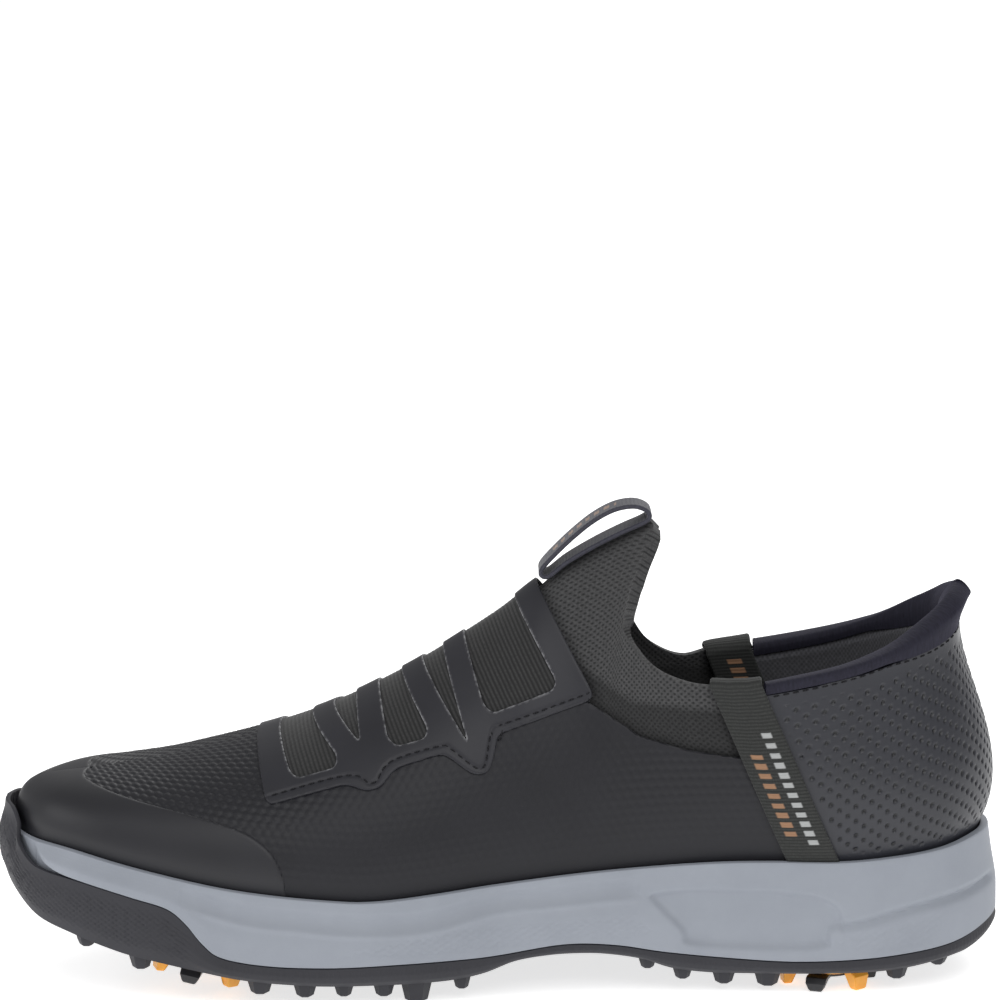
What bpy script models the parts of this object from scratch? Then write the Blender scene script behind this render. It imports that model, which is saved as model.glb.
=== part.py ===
"""Slip-on golf shoe for the right foot: a knit bootie under moulded overlays, on a foam midsole and
a rubber outsole with six screw-in cleats. The toe points to -X, the medial side is -Y and the
studs stand on Z = 0. Sizes are in millimetres and become metres where a mesh is made."""

import math

import bmesh
import bpy
import numpy as np
from mathutils import Matrix, Vector

for existing in list(bpy.data.objects):
    bpy.data.objects.remove(existing, do_unlink=True)

MM = 0.001

# Driving dimensions
STATIONS = 30  # cross sections from the toe tip to the heel tip
SHELL_ROWS = 6  # rows of the upper from the rim to the ridge or collar
GAP = 0.3  # clearance between pieces that touch
UPPER_INSET = 5.6  # the upper's outer face inside the sole's outline
RIM_INNER_INSET = 4.0
RIM_OUTER_INSET = 2.8
RIM_DEPTH = 6.0  # from the rim down to the midsole's deck
LIP = 2.5  # thickness of the outsole's upturned lip
SKIN = 1.1  # thickness of the upper's main layers
UNDER = -1.9  # outer face of the middle layers
INNER = -3.4  # outer face of the linings
LINING = 1.0  # thickness of the linings
LINING_SET_IN = 2.8  # how much further in the heel lining stands over the foam
TOE_OVERLAY_OUT, TOE_OVERLAY_THICK = 1.2, 0.9  # outer face outside the upper's face, and thickness
SADDLE_OUT, SADDLE_THICK = 1.7, 1.0
STRAP_OUT, STRAP_THICK = 1.6, 1.2
PUFF_THICK, COUNTER_THICK = 1.0, 1.1
PAD_THICK, PILLOW_THICK = 2.9, 2.4
PLATE = 3.4  # thickness of the outsole's plate
SHEET_RUN_IN = 6.0  # how far in from its edge a sheet on the deck is flat
CLEAT_HEIGHT = 6.18
CLEAT_RADIUS = 13.0  # circle through the cleat's leg tips
DISC_RADIUS = 8.2
SOCKET_RADIUS = 9.0
SOCKET_HEIGHT = 6.0
STEM_RADIUS = 3.8
ROUND = 12  # sides of the small turned pieces

# The sole's outline in plan, toe tip first, as (x, y)
MEDIAL_OUTLINE = [
    (-150, -7), (-147.3, -21), (-138, -34), (-122, -43.5), (-102, -49), (-80, -52), (-58, -52.5),
    (-30, -49.5), (0, -43), (30, -38.5), (60, -37), (90, -37.5), (115, -36), (134, -29.5), (146, -16),
]
LATERAL_OUTLINE = [
    (150, 0), (146, 16), (134, 30), (114, 38.5), (88, 41.5), (58, 43), (28, 45.5), (-4, 49.5),
    (-34, 52.5), (-64, 52), (-90, 47.5), (-112, 39.5), (-130, 28), (-143, 12),
]

# Heights along the shoe, as (x, z)
RIDGE = [
    (-124, 61.4), (-120, 61.9), (-100, 65.4), (-80, 69.8), (-70, 72.0), (-60, 76.0), (-50, 80.4),
    (-35, 87.4), (-17, 98.0), (-3, 107.3), (6, 114.0), (12, 118.6), (28, 128.3), (44, 136.2),
]
MIDSOLE_RIM = [
    (-150, 46.5), (-143, 46), (-127, 44.6), (-102, 39.6), (-78, 35.2), (-49, 31.9), (-36, 31.3),
    (-18, 32.6), (0, 34.5), (30, 37.3), (60, 39.4), (80, 40), (100, 39.8), (117, 40.9), (132, 42.4),
    (144, 44.1), (150, 44.4),
]
LIP_TOP = [
    (-150, 54.0), (-146.5, 52.5), (-143, 45), (-139.5, 40.5), (-135, 38.3), (-122, 36.1), (-107, 32.5),
    (-97, 29.8), (-91.5, 25.5), (-86.5, 19.5), (-81, 15.6), (-68, 13.4), (-49, 12.5), (-30, 12.8),
    (-10, 13.2), (0, 13.9), (19, 16.2), (34, 15.5), (49, 13.1), (68, 11.2), (88, 10.2), (108, 10.9),
    (128, 12.9), (139, 15.0), (150, 18.5),
]
OUTSOLE_BOTTOM = [
    (-150, 32.5), (-146, 29.0), (-138, 23.4), (-127, 20.0), (-118, 17.4), (-109, 15.0), (-100, 13.3),
    (-90, 11.4), (-75, 8.7), (-58, 7.2), (-48, 6.7), (-36, 6.6), (-24, 6.6), (-13, 7.0), (-4, 8.5),
    (5, 11.6), (15, 12.9), (24, 13.1), (32, 12.6), (42, 10.9), (51, 8.0), (62, 6.6), (74, 6.35),
    (86, 6.3), (98, 6.3), (108, 6.5), (120, 7.3), (135, 9.4), (142, 10.4), (150, 13.8),
]

# The upper's top edge: (x of the station on the outline, x, |y|, z), over the ridge, down the
# tongue's rear edge and round the collar to the heel's peak
TOP_EDGE = [
    (-150, -121, 0, 61.6), (-140, -117, 0, 62.6), (-120, -109, 0, 63.7), (-96, -92, 0, 67.1),
    (-60, -58, 0, 76.9), (-30, -29, 0, 90.8), (-4, -2, 0, 108.0), (9, 12, 0, 118.7),
    (22, 28, 0, 128.3), (31, 43.5, 0, 136.0), (34, 44.6, 8, 134.5), (37, 42.0, 14, 127.5),
    (40, 38.2, 19, 119.0), (44, 35.4, 23, 110.5), (50, 39.0, 26, 102.5), (56, 45.5, 28.5, 96.6),
    (64, 55.0, 30.5, 93.2), (72, 64.0, 31.5, 92.4), (81, 75.0, 32, 92.8), (92, 88.0, 31.5, 95.0),
    (103, 100.5, 30.5, 97.6), (113, 110.5, 28.5, 100.4), (124, 120.0, 25, 104.0),
    (135, 129.5, 19, 109.6), (144, 137.0, 11, 114.2), (150, 141.2, 0, 116.6),
]
LATERAL_DIP = 4.0  # the ankle edge is this much lower on the lateral side

# Panel edges in side view, as (x, z)
VAMP_EDGE = [
    (-69.5, 95), (-66, 61), (-60, 62.3), (-47, 65.4), (-40, 64.5), (-36, 65.6), (-32, 70.3),
    (-18, 73.6), (-14.5, 73), (-7.5, 68.6), (-5.3, 69.5), (-3.6, 79.2), (0, 80.3), (24, 88),
]
KNIT_EDGE = [(26.8, 85.8), (37, 80), (40.5, 77.3), (43.7, 76.3), (54.5, 73.5), (67.9, 71.7)]
SADDLE_EDGE = [
    (-73, 96), (-72.9, 73), (-68.2, 58), (-44.8, 63.7), (-39, 61.9), (-34.8, 63), (-30.8, 67.9),
    (-17.9, 71.7), (-15.3, 71.3), (-7.9, 66.2), (-3.8, 66.5), (-2.1, 69.7), (-0.6, 77.1), (2.1, 78.2),
    (25.6, 86.3), (27.7, 88.2), (10.4, 118.9), (5, 128),
]
WINDOWS = [
    [(-66.1, 95), (-66.1, 74.8), (-61.7, 65.9), (-59.3, 64.6), (-48.2, 67.5), (-48, 70.4),
     (-57.2, 78.5), (-57.2, 95)],
    [(-50.3, 100), (-50.3, 80.9), (-41.2, 73.7), (-43.1, 84.6), (-43.1, 100)],
    [(-36.2, 108), (-36.2, 87.8), (-33, 75.3), (-30.3, 73.4), (-22.1, 75.6), (-21.2, 78.1),
     (-30.3, 92), (-30.3, 108)],
    [(-24, 115), (-24, 95.7), (-9.4, 74.8), (-17.4, 99.5), (-17.4, 115)],
    [(-10.8, 130), (-10.8, 102.9), (-4.7, 84.9), (-2.1, 82.8), (15.6, 89.4), (16.5, 91.9),
     (3, 115.6), (3, 130)],
]
TOE_OVERLAY_EDGE = [
    (-131, 75), (-130, 63), (-115, 60.1), (-103, 57.8), (-92, 56), (-73, 51.7), (-63.5, 43.3),
    (-60.6, 20),
]
COLLAR_LOW_EDGE = [
    (78, 88.6), (90.7, 90.8), (103.3, 93.6), (112, 95.8), (120, 98.2), (128, 100.6), (134, 102.8),
    (165, 109),
]
STRAP_TOP = (69.0, 92.5)
STRAP_SLOPE = (92.9 - 69.0) / (92.5 - 38.5)  # how far back the strap leans for each mm down
STRAP_WIDTH = 15.4

# Cleats: name, x, y and the turn of their legs in degrees
CLEATS = [
    ("front_medial", -88.0, -29.0, 20), ("front_lateral", -90.0, 24.0, 5),
    ("ball_centre", -38.0, -3.0, 30), ("ball_lateral", -42.0, 34.0, 0),
    ("heel_medial", 98.0, -20.5, 10), ("heel_lateral", 98.0, 22.0, 50),
]
# Studs along both edges: (x, height below the plate, width). The ground stud reaches Z = 0.
GROUND_STUD_X = -23
EDGE_STUDS = [
    (-124, 2.6, 5), (-106.8, 4.0, 6), (-70.4, 4.3, 6.5), (-56.6, 4.2, 6), (-45, 3.6, 5),
    (-33, 4.0, 5.5), (GROUND_STUD_X, 6.6, 8), (-10, 3.6, 4.5), (44, 3.0, 4.5), (54, 3.4, 5), (66, 4.0, 6),
    (79, 4.6, 7), (119, 3.6, 6), (133, 2.2, 5),
]
INNER_STUDS = [
    (-121, -12, 3.0, 6), (-112, 6, 3.2, 6), (-104, -8, 3.4, 6), (-66, -18, 4.0, 7), (-64, 2, 4.0, 7),
    (-66, 22, 4.0, 7), (-18, -22, 4.0, 7), (-16, 18, 4.0, 7), (70, 0, 4.0, 7), (122, 0, 3.6, 7),
]


def open_curve(points, steps=12):
    """A smooth line through the points."""
    points = np.array(points, float)
    points = np.vstack([2 * points[0] - points[1], points, 2 * points[-1] - points[-2]])
    line = []
    for i in range(1, len(points) - 2):
        line += [bend(points[i - 1:i + 3], s) for s in np.linspace(0, 1, steps, endpoint=False)]
    return np.array(line + [points[-2]])


def closed_curve(points, steps=24):
    points = np.array(points, float)
    line = []
    for i in range(len(points)):
        four = points[[(i + k - 1) % len(points) for k in range(4)]]
        line += [bend(four, s) for s in np.linspace(0, 1, steps, endpoint=False)]
    return np.array(line)


def bend(four, s):
    """Catmull-Rom between the middle two of four points."""
    a, b, c, d = four
    return 0.5 * (2 * b + (c - a) * s + (2 * a - 5 * b + 4 * c - d) * s**2 + (3 * b - a - 3 * c + d) * s**3)


def heights(knots):
    line = open_curve(knots)
    return lambda x: np.interp(x, line[:, 0], line[:, 1])


def smooth_step(value):
    value = np.clip(value, 0, 1)
    return value * value * (3 - 2 * value)


OUTLINE = closed_curve(MEDIAL_OUTLINE + LATERAL_OUTLINE)
HEEL_AT = len(MEDIAL_OUTLINE) * 24
SIDES = {
    "medial": OUTLINE[:HEEL_AT + 1],
    "lateral": np.vstack([OUTLINE[HEEL_AT:], OUTLINE[:1]])[::-1],
}
rim_z = heights(MIDSOLE_RIM)
lip_z = heights(LIP_TOP)
bottom_z = heights(OUTSOLE_BOTTOM)


def station_shares(count):
    """Shares of a side's length, closer at the toe, the tongue's edge and the heel."""
    fine = np.linspace(0, 1, 801)
    density = 1 + 1.2 * np.exp(-(fine / 0.06) ** 2) + 1.6 * np.exp(-((fine - 0.64) / 0.05) ** 2)
    density += 1.0 * np.exp(-((1 - fine) / 0.07) ** 2)
    total = np.r_[0, np.cumsum((density[1:] + density[:-1]) / 2)]
    return np.interp(np.linspace(0, total[-1], count + 1), total, fine)


def side_points(side, shares):
    """Outline points at these shares of a side, and their outward directions."""
    line = SIDES[side]
    run = np.r_[0, np.cumsum(np.linalg.norm(np.diff(line, axis=0), axis=1))]
    at = shares * run[-1]
    spots = np.stack([np.interp(at, run, line[:, k]) for k in (0, 1)], axis=1)
    step = run[-1] / 400
    ahead = np.stack([np.interp(np.minimum(at + step, run[-1]), run, line[:, k]) for k in (0, 1)], axis=1)
    behind = np.stack([np.interp(np.maximum(at - step, 0), run, line[:, k]) for k in (0, 1)], axis=1)
    along = ahead - behind
    along[0] = (0, -1) if side == "medial" else (0, 1)
    along[-1] = (0, 1) if side == "medial" else (0, -1)
    along /= np.linalg.norm(along, axis=1)[:, None]
    turn = 1 if side == "medial" else -1
    return spots, np.stack([along[:, 1], -along[:, 0]], axis=1) * turn


def upper_surface(side, shares, rows):
    """The upper's outer face on one side: for each station a skirt inside the rim, then a cubic
    curve from the rim to the ridge, the tongue's edge or the collar."""
    hand = -1.0 if side == "medial" else 1.0
    spots, out = side_points(side, shares)
    foot = np.c_[spots - out * UPPER_INSET, rim_z(spots[:, 0]) + 0.3]
    skirt = foot - np.array([0, 0, RIM_DEPTH - 0.7])
    edge = np.array(TOP_EDGE, float)
    if side == "lateral":
        edge[:, 3] -= LATERAL_DIP * np.exp(-((edge[:, 1] - 52) / 11.0) ** 2) * (edge[:, 2] > 20)
    dense = np.linspace(0, 1, 1201)
    middle_x = (side_points("medial", dense)[0][:, 0] + side_points("lateral", dense)[0][:, 0]) / 2
    knots = np.interp(edge[:, 0], middle_x, dense)
    knots[0], knots[-1] = 0, 1
    line = open_curve(np.c_[knots * 400, edge[:, 1:]], 16)
    top = np.stack([np.interp(shares, line[:, 0] / 400, line[:, k]) for k in (1, 2, 3)], axis=1)
    top[:, 1] *= hand
    top[:, 1] += np.interp(top[:, 0], [-125, -60], [-6, 0])
    rise = (top[:, 2] - foot[:, 2])[:, None]
    plan = foot[:, :2] - top[:, :2]
    width = np.linalg.norm(plan, axis=1)
    k = knots

    def along(places, values):
        return np.interp(shares, places, values)[:, None]

    up = along([0, 0.08, 0.2, 0.3, k[6], k[10], k[16], k[20], k[22], k[24], 1],
               [0.95, 0.88, 0.68, 0.56, 0.42, 0.4, 0.38, 0.38, 0.37, 0.345, 0.345])
    flare = along([0, 0.08, 0.2, 0.3, k[6], k[10], k[16], k[20], k[22], k[24], 1],
                  [0.0, 0.5, 2.0, 3.0, 3.0, 3.0, 5.0, 7.0, 9.0, 12.0, 15.0])
    first = foot + np.c_[out * flare, up * rise]
    crown = along([0, 0.08, 0.2, 0.3, k[6], k[9]], [0.78, 0.72, 0.6, 0.52, 0.4, 0.34])
    radial = plan * crown
    square = np.c_[np.zeros(len(width)), hand * crown[:, 0] * width]
    mix = along([0, 0.1, 0.18], [0, 0.35, 1])
    sink = along([0, 0.1, 0.3, k[8]], [-1.5, -1.0, -1.0, -3.0])
    over_ridge = np.c_[radial * (1 - mix) + square * mix, sink]
    lean = along([k[13], k[16], k[20], k[22], k[24], 1], [1.5, 2.5, 1.5, -1.0, -9.0, -14.0])
    drop = along([k[20], 1], [0.33, 0.215])
    at_collar = np.c_[out * lean, -drop * rise]
    on_tongue = np.tile([-9.0, hand * 7.0, -16.0], (len(width), 1))
    tongue = np.exp(-((shares - k[11]) / (k[13] - k[11])) ** 2)[:, None]
    at_collar = at_collar * (1 - tongue) + on_tongue * tongue
    ridge_or_collar = along([0, k[7], k[9], k[13], k[16]], [0, 0, 0.15, 0.75, 1])
    second = top + over_ridge * (1 - ridge_or_collar) + at_collar * ridge_or_collar
    v = np.linspace(0, 1, rows + 1)[None, :, None]
    w = 1 - v
    curve = (w**3 * foot[:, None] + 3 * w**2 * v * first[:, None] + 3 * w * v**2 * second[:, None]
             + v**3 * top[:, None])
    return np.concatenate([skirt[:, None], curve], axis=1)


parts = bpy.data.collections.new("golf_shoe")
cutters = bpy.data.collections.new("golf_shoe_cutters")
bpy.context.scene.collection.children.link(parts)
bpy.context.scene.collection.children.link(cutters)


def finish(name, colour, roughness, metallic=0.0):
    material = bpy.data.materials.new(name)
    material.use_nodes = True
    shader = material.node_tree.nodes["Principled BSDF"]
    shader.inputs["Base Color"].default_value = (*colour, 1)
    shader.inputs["Roughness"].default_value = roughness
    shader.inputs["Metallic"].default_value = metallic
    return material


LOOKS = {
    "overlay": finish("smooth_overlay", (0.022, 0.022, 0.026), 0.45),
    "vamp": finish("embossed_synthetic", (0.025, 0.025, 0.030), 0.50),
    "quarter": finish("punched_synthetic", (0.030, 0.032, 0.038), 0.48),
    "knit": finish("knit", (0.030, 0.030, 0.032), 0.85),
    "elastic": finish("rib_elastic", (0.014, 0.014, 0.016), 0.80),
    "lining": finish("mesh_lining", (0.035, 0.035, 0.038), 0.85),
    "navy": finish("navy_binding", (0.018, 0.018, 0.030), 0.75),
    "webbing": finish("webbing", (0.016, 0.017, 0.016), 0.75),
    "board": finish("strobel_board", (0.55, 0.53, 0.50), 0.90),
    "stiffener": finish("thermoplastic_sheet", (0.35, 0.35, 0.36), 0.60),
    "foam": finish("open_cell_foam", (0.10, 0.10, 0.11), 0.90),
    "midsole": finish("grey_eva", (0.30, 0.325, 0.36), 0.60),
    "rubber": finish("black_rubber", (0.040, 0.040, 0.045), 0.55),
    "socket": finish("black_nylon", (0.020, 0.020, 0.022), 0.40),
    "claw": finish("orange_tpu", (0.85, 0.42, 0.07), 0.40),
}


def give_look(mesh, name, look):
    """Gives a mesh its own copy of a finish."""
    own = LOOKS[look].copy()
    own.name = f"{name}_finish"
    mesh.materials.append(own)
    mesh.shade_smooth()


def put(name, mesh, look, collection=parts):
    """Adds a mesh object, its normals facing out. One with no look is a cutter."""
    build = bmesh.new()
    build.from_mesh(mesh)
    bmesh.ops.remove_doubles(build, verts=build.verts, dist=1e-6)
    bmesh.ops.dissolve_degenerate(build, edges=build.edges, dist=1e-7)
    bmesh.ops.recalc_face_normals(build, faces=build.faces)
    build.to_mesh(mesh)
    build.free()
    obj = bpy.data.objects.new(name, mesh)
    collection.objects.link(obj)
    if look:
        give_look(mesh, name, look)
        mesh.set_sharp_from_angle(angle=math.radians(35))
    else:
        obj.hide_render = True
        obj.display_type = "WIRE"
    return obj


def mesh_of(name, corners, faces):
    mesh = bpy.data.meshes.new(name)
    mesh.from_pydata([tuple(point * MM) for point in corners], [], faces)
    return mesh


def loft(name, sections, look, closed_run=False):
    """A body through closed sections. The end sections may be flat, as at the toe and heel tips."""
    sections = np.array(sections)
    count, width = sections.shape[:2]
    faces = []
    for i in range(count if closed_run else count - 1):
        j = (i + 1) % count
        for a in range(width):
            b = (a + 1) % width
            faces.append((i * width + a, i * width + b, j * width + b, j * width + a))
    return put(name, mesh_of(name, sections.reshape(-1, 3), faces), look)


def sole_loft(name, profile, look, count=STATIONS):
    """A body across the sole. profile(x) gives its edge on the medial side, bottom first, as
    (inset, height) pairs; the lateral side mirrors it."""
    shares = station_shares(count)
    rows = []
    for side in ("medial", "lateral"):
        spots, out = side_points(side, shares)
        walls = []
        for spot, direction in zip(spots, out):
            walls.append([(*(spot - direction * inset), z) for inset, z in profile(spot[0])])
        rows.append(np.array(walls))
    medial, lateral = rows
    for wall, other in ((medial, lateral), (lateral, medial)):
        wall[0] = (medial[0] + lateral[0]) / 2
        wall[-1] = (medial[-1] + lateral[-1]) / 2
    sections = np.concatenate([medial, lateral[:, ::-1]], axis=1)
    return loft(name, keep_short_ends(sections), look)


def keep_short_ends(sections):
    """At the tips an inset edge would cross over the next stations, so stations that lie beyond
    the inset tip are drawn back to it."""
    half = sections.shape[1] // 2
    for k in range(half):
        for row in (sections[:, k], sections[:, -1 - k]):
            tip, end = row[0, 0], row[-1, 0]
            row[1:-1, 0] = np.clip(row[1:-1, 0], tip + 0.02, end - 0.02)
    return sections


REACH = 90.0  # the cutters run this far to each side
SIDE_SPANS = [("medial", -REACH, 0), ("lateral", 0, REACH)]


def prism(name, outline, low_y=-REACH, high_y=REACH):
    """A cutter with this side-view outline, running across the shoe."""
    points = [np.array([x, y, z]) for y in (low_y, high_y) for x, z in outline]
    n = len(outline)
    faces = [tuple(range(n)), tuple(range(2 * n - 1, n - 1, -1))]
    faces += [(i, (i + 1) % n, n + (i + 1) % n, n + i) for i in range(n)]
    return put(name, mesh_of(name, points, faces), None, cutters)


def boolean(obj, cutter, operation, solver="EXACT"):
    modifier = obj.modifiers.new(cutter.name, "BOOLEAN")
    modifier.object = cutter
    modifier.operation = operation
    modifier.solver = solver


# The upper's face as one open mesh. Every layer is this mesh moved along its normals.
SHARES = station_shares(STATIONS)


def layer(name, offset, thickness, look, keep, remove=(), solver="EXACT"):
    """A layer of the upper. offset is its outer face's distance outside the upper's face, or a
    function of a point; keep and remove are prisms."""
    grids = [upper_surface(side, SHARES, SHELL_ROWS) for side in ("medial", "lateral")]
    middle = grids[0][[0, -1]] * 0.5 + grids[1][[0, -1]] * 0.5
    for grid in grids:
        grid[[0, -1]] = middle
    rows = grids[0].shape[1]
    points = np.concatenate([grid.reshape(-1, 3) for grid in grids])
    faces = []
    for number in range(2):
        base = number * (STATIONS + 1) * rows
        for i in range(STATIONS):
            for j in range(rows - 1):
                a = base + i * rows + j
                faces.append((a, a + rows, a + rows + 1, a + 1))
    build = bmesh.new()
    build.from_mesh(mesh_of(name, points, faces))
    bmesh.ops.remove_doubles(build, verts=build.verts, dist=0.05 * MM)
    bmesh.ops.recalc_face_normals(build, faces=build.faces)
    build.normal_update()
    if sum(face.normal.z * face.calc_area() for face in build.faces) < 0:
        bmesh.ops.reverse_faces(build, faces=build.faces)
        build.normal_update()
    outwards = [vertex.normal.copy() for vertex in build.verts]
    for vertex, outward in zip(build.verts, outwards):
        out = offset(vertex.co / MM) if callable(offset) else offset
        vertex.co += outward * (out * MM)
    mesh = bpy.data.meshes.new(name)
    build.to_mesh(mesh)
    build.free()
    obj = bpy.data.objects.new(name, mesh)
    parts.objects.link(obj)
    give_look(mesh, name, look)
    solid = obj.modifiers.new("thickness", "SOLIDIFY")
    solid.thickness = thickness * MM
    solid.offset = -1
    for cutter in keep:
        boolean(obj, cutter, "INTERSECT", solver)
    for cutter in remove:
        boolean(obj, cutter, "DIFFERENCE", solver)
    return obj


def beside(edge, gap):
    """The same open line, moved to the left of its run by gap."""
    line = np.array(edge, float)
    run = np.gradient(line, axis=0)
    run /= np.linalg.norm(run, axis=1)[:, None]
    return [tuple(point) for point in line + np.stack([-run[:, 1], run[:, 0]], axis=1) * gap]


def strap_x(z, shift=0.0):
    return STRAP_TOP[0] + (STRAP_TOP[1] - z) * STRAP_SLOPE + shift


# Upper: outer layers
toe_overlay_shape = [(-165, 15), (-165, 75)] + TOE_OVERLAY_EDGE
layer("toe_overlay", TOE_OVERLAY_OUT, TOE_OVERLAY_THICK, "overlay",
      [prism("toe_overlay_shape", toe_overlay_shape)])
saddle_window = [prism(f"saddle_window_{i + 1}", window) for i, window in enumerate(WINDOWS)]
layer("saddle_overlay", SADDLE_OUT, SADDLE_THICK, "overlay", [prism("saddle_shape", SADDLE_EDGE)],
      saddle_window)
strap_shape = [
    (strap_x(98, -STRAP_WIDTH / 2), 98), (strap_x(98, STRAP_WIDTH / 2), 98),
    (strap_x(41.5, STRAP_WIDTH / 2), 41.5), (strap_x(41.5, -STRAP_WIDTH / 2), 41.5),
]
for side, low_y, high_y in SIDE_SPANS:
    strap = prism(f"strap_shape_{side}", strap_shape, low_y, high_y)
    layer(f"strap_{side}", STRAP_OUT, STRAP_THICK, "webbing", [strap])

# Upper: main layer
vamp_shape = [(-165, 15), (-165, 95)] + VAMP_EDGE + KNIT_EDGE
vamp_shape += [(strap_x(71.3, -0.3), 71.3), (strap_x(15, -0.3), 15)]
layer("vamp", 0.0, SKIN, "vamp", [prism("vamp_shape", vamp_shape)], solver="MANIFOLD")
gore_shape = beside(VAMP_EDGE, 0.5) + [(24.6, 90), (8, 118.5), (2, 130)]
layer("elastic_gore", 0.0, SKIN, "elastic", [prism("gore_shape", gore_shape)])
quarter_shape = [(strap_x(15, 0.3), 15), (strap_x(87.6, 0.3), 87.6)] + COLLAR_LOW_EDGE + [(165, 15)]
layer("heel_quarter", 0.0, SKIN, "quarter", [prism("quarter_shape", quarter_shape)])

# Upper: middle layer
bootie_shape = [(-62, 15), (-62, 150), (60, 150), (strap_x(110, -0.6), 110), (strap_x(15, -0.6), 15)]
layer("knit_bootie", UNDER, SKIN, "knit", [prism("bootie_shape", bootie_shape)])
puff_shape = [(-165, 15), (-165, 80), (-104, 80), (-98, 15)]
layer("toe_puff", UNDER, PUFF_THICK, "stiffener", [prism("puff_shape", puff_shape)])
counter_shape = [(104, 15), (100, 66), (124, 71), (134, 84), (165, 84), (165, 15)]
layer("heel_counter", UNDER, COUNTER_THICK, "stiffener", [prism("counter_shape", counter_shape)])
pad_shape = [(81, 73.5), (81, 87.4), (90.7, 89.0), (103.3, 91.6), (116.5, 95.4), (125.4, 98.6), (125.4, 75)]
for side, low_y, high_y in SIDE_SPANS:
    pad = prism(f"pad_shape_{side}", pad_shape, low_y, high_y)
    layer(f"collar_pad_{side}", UNDER, PAD_THICK, "foam", [pad])
pillow_shape = [(127, 60), (127, 82), (131.5, 98), (165, 98), (165, 60)]
layer("heel_pillow", INNER, PILLOW_THICK, "foam", [prism("pillow_shape", pillow_shape)])


def lining_offset(point):
    """The heel lining lies against the shell low down and over the foam higher up."""
    low = np.interp(point.x, [106, 122], [60, 38])
    return INNER - LINING_SET_IN * float(smooth_step((point.z - low) / 10.0))


# Upper: linings
vamp_lining_shape = [(-165, 15), (-165, 95), (-62, 95), (-62, 15)]
layer("vamp_lining", INNER, LINING, "lining", [prism("vamp_lining_shape", vamp_lining_shape)])
lining_shape = [(strap_x(15, 0.6), 15), (strap_x(87.6, 0.6), 87.6)] + COLLAR_LOW_EDGE + [(165, 15)]
layer("heel_lining", lining_offset, LINING, "lining", [prism("lining_shape", lining_shape)])

# Collar binding: a rounded band over the top edges, from the strap round the heel, deeper at the
# back. Its cross section is given as (distance outside the upper's face, share of its depth).
COLLAR_START = 77.6
BAND_DEPTH = 3.2
BAND_DEPTH_AT_HEEL = 9.6
BAND_SECTION = [
    (0.3, 1.0), (0.3, 0.3), (-1.0, 0.02), (-3.4, -0.06), (-5.7, 0.02), (-6.9, 0.3), (-6.9, 1.0),
]
BAND_STEPS = 60  # fine stations along the collar, of which every third carries a ring


def below_top(column, distance):
    """The point of a surface column this far under its top, measured along it."""
    steps = np.r_[0, np.cumsum(np.linalg.norm(np.diff(column[::-1], axis=0), axis=1))]
    return np.array([np.interp(distance, steps, column[::-1][:, k]) for k in range(3)])


def band_rings(side):
    shares = np.linspace(0.7, 1, BAND_STEPS + 1)
    grid = upper_surface(side, shares, BAND_STEPS)
    rings = []
    for i in range(0, BAND_STEPS + 1, 3):
        top = grid[i, -1]
        if top[0] < COLLAR_START:
            continue
        depth = BAND_DEPTH + (BAND_DEPTH_AT_HEEL - BAND_DEPTH) * float(smooth_step((top[0] - 112) / 26))
        run = grid[min(i + 1, BAND_STEPS), -1] - grid[i - 1, -1]
        if i == BAND_STEPS:
            run = np.array([0, 1.0 if side == "medial" else -1.0, 0])
        ring = []
        for out, share in BAND_SECTION:
            spot = below_top(grid[i], max(share, 0) * depth)
            under = below_top(grid[i], max(share, 0) * depth + 1.5)
            outward = np.cross(under - spot, run) * (1 if side == "medial" else -1)
            outward /= np.linalg.norm(outward)
            ring.append(spot + outward * out + np.array([0, 0, max(-share, 0) * depth]))
        rings.append(ring)
    return rings


medial_rings, lateral_rings = band_rings("medial"), band_rings("lateral")
rings = np.array(medial_rings + lateral_rings[-2::-1])
count, width = rings.shape[:2]
faces = [tuple(range(width)), tuple(range(count * width - 1, (count - 1) * width - 1, -1))]
for i in range(count - 1):
    for a in range(width):
        b = (a + 1) % width
        faces.append((i * width + a, i * width + b, (i + 1) * width + b, (i + 1) * width + a))
put("collar_binding", mesh_of("collar_binding", rings.reshape(-1, 3), faces), "navy")

# Pull loop: a tape bent into a closed drop shape over the tongue's edge
LOOP_LINE = [
    (12.3, 120.8), (12.6, 122.9), (16.4, 127.2), (22, 132.6), (28, 137.4), (34, 140.6), (39.6, 141.6),
    (43.4, 140.4), (44.4, 138.3), (42.4, 136.6), (36, 133.7), (28, 129.6), (20, 124.8), (14.6, 120.6),
]
LOOP_WIDTH, TAPE = 13.0, 1.4
line = closed_curve(LOOP_LINE, 3)
ahead = np.roll(line, -1, axis=0) - np.roll(line, 1, axis=0)
ahead /= np.linalg.norm(ahead, axis=1)[:, None]
across = np.stack([-ahead[:, 1], ahead[:, 0]], axis=1) * TAPE / 2
loop_sections = []
for spot, half in zip(line, across):
    corners = [(spot + half, -1), (spot + half, 1), (spot - half, 1), (spot - half, -1)]
    loop_sections.append([(p[0], s * LOOP_WIDTH / 2, p[1]) for p, s in corners])
loft("pull_loop", loop_sections, "navy", closed_run=True)


# Sole
def deck_z(x):
    return rim_z(x) - RIM_DEPTH


def plate_top(x):
    """Top of the outsole's plate, inside its lip."""
    return min(bottom_z(x) + PLATE, lip_z(x) - 0.8)


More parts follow.
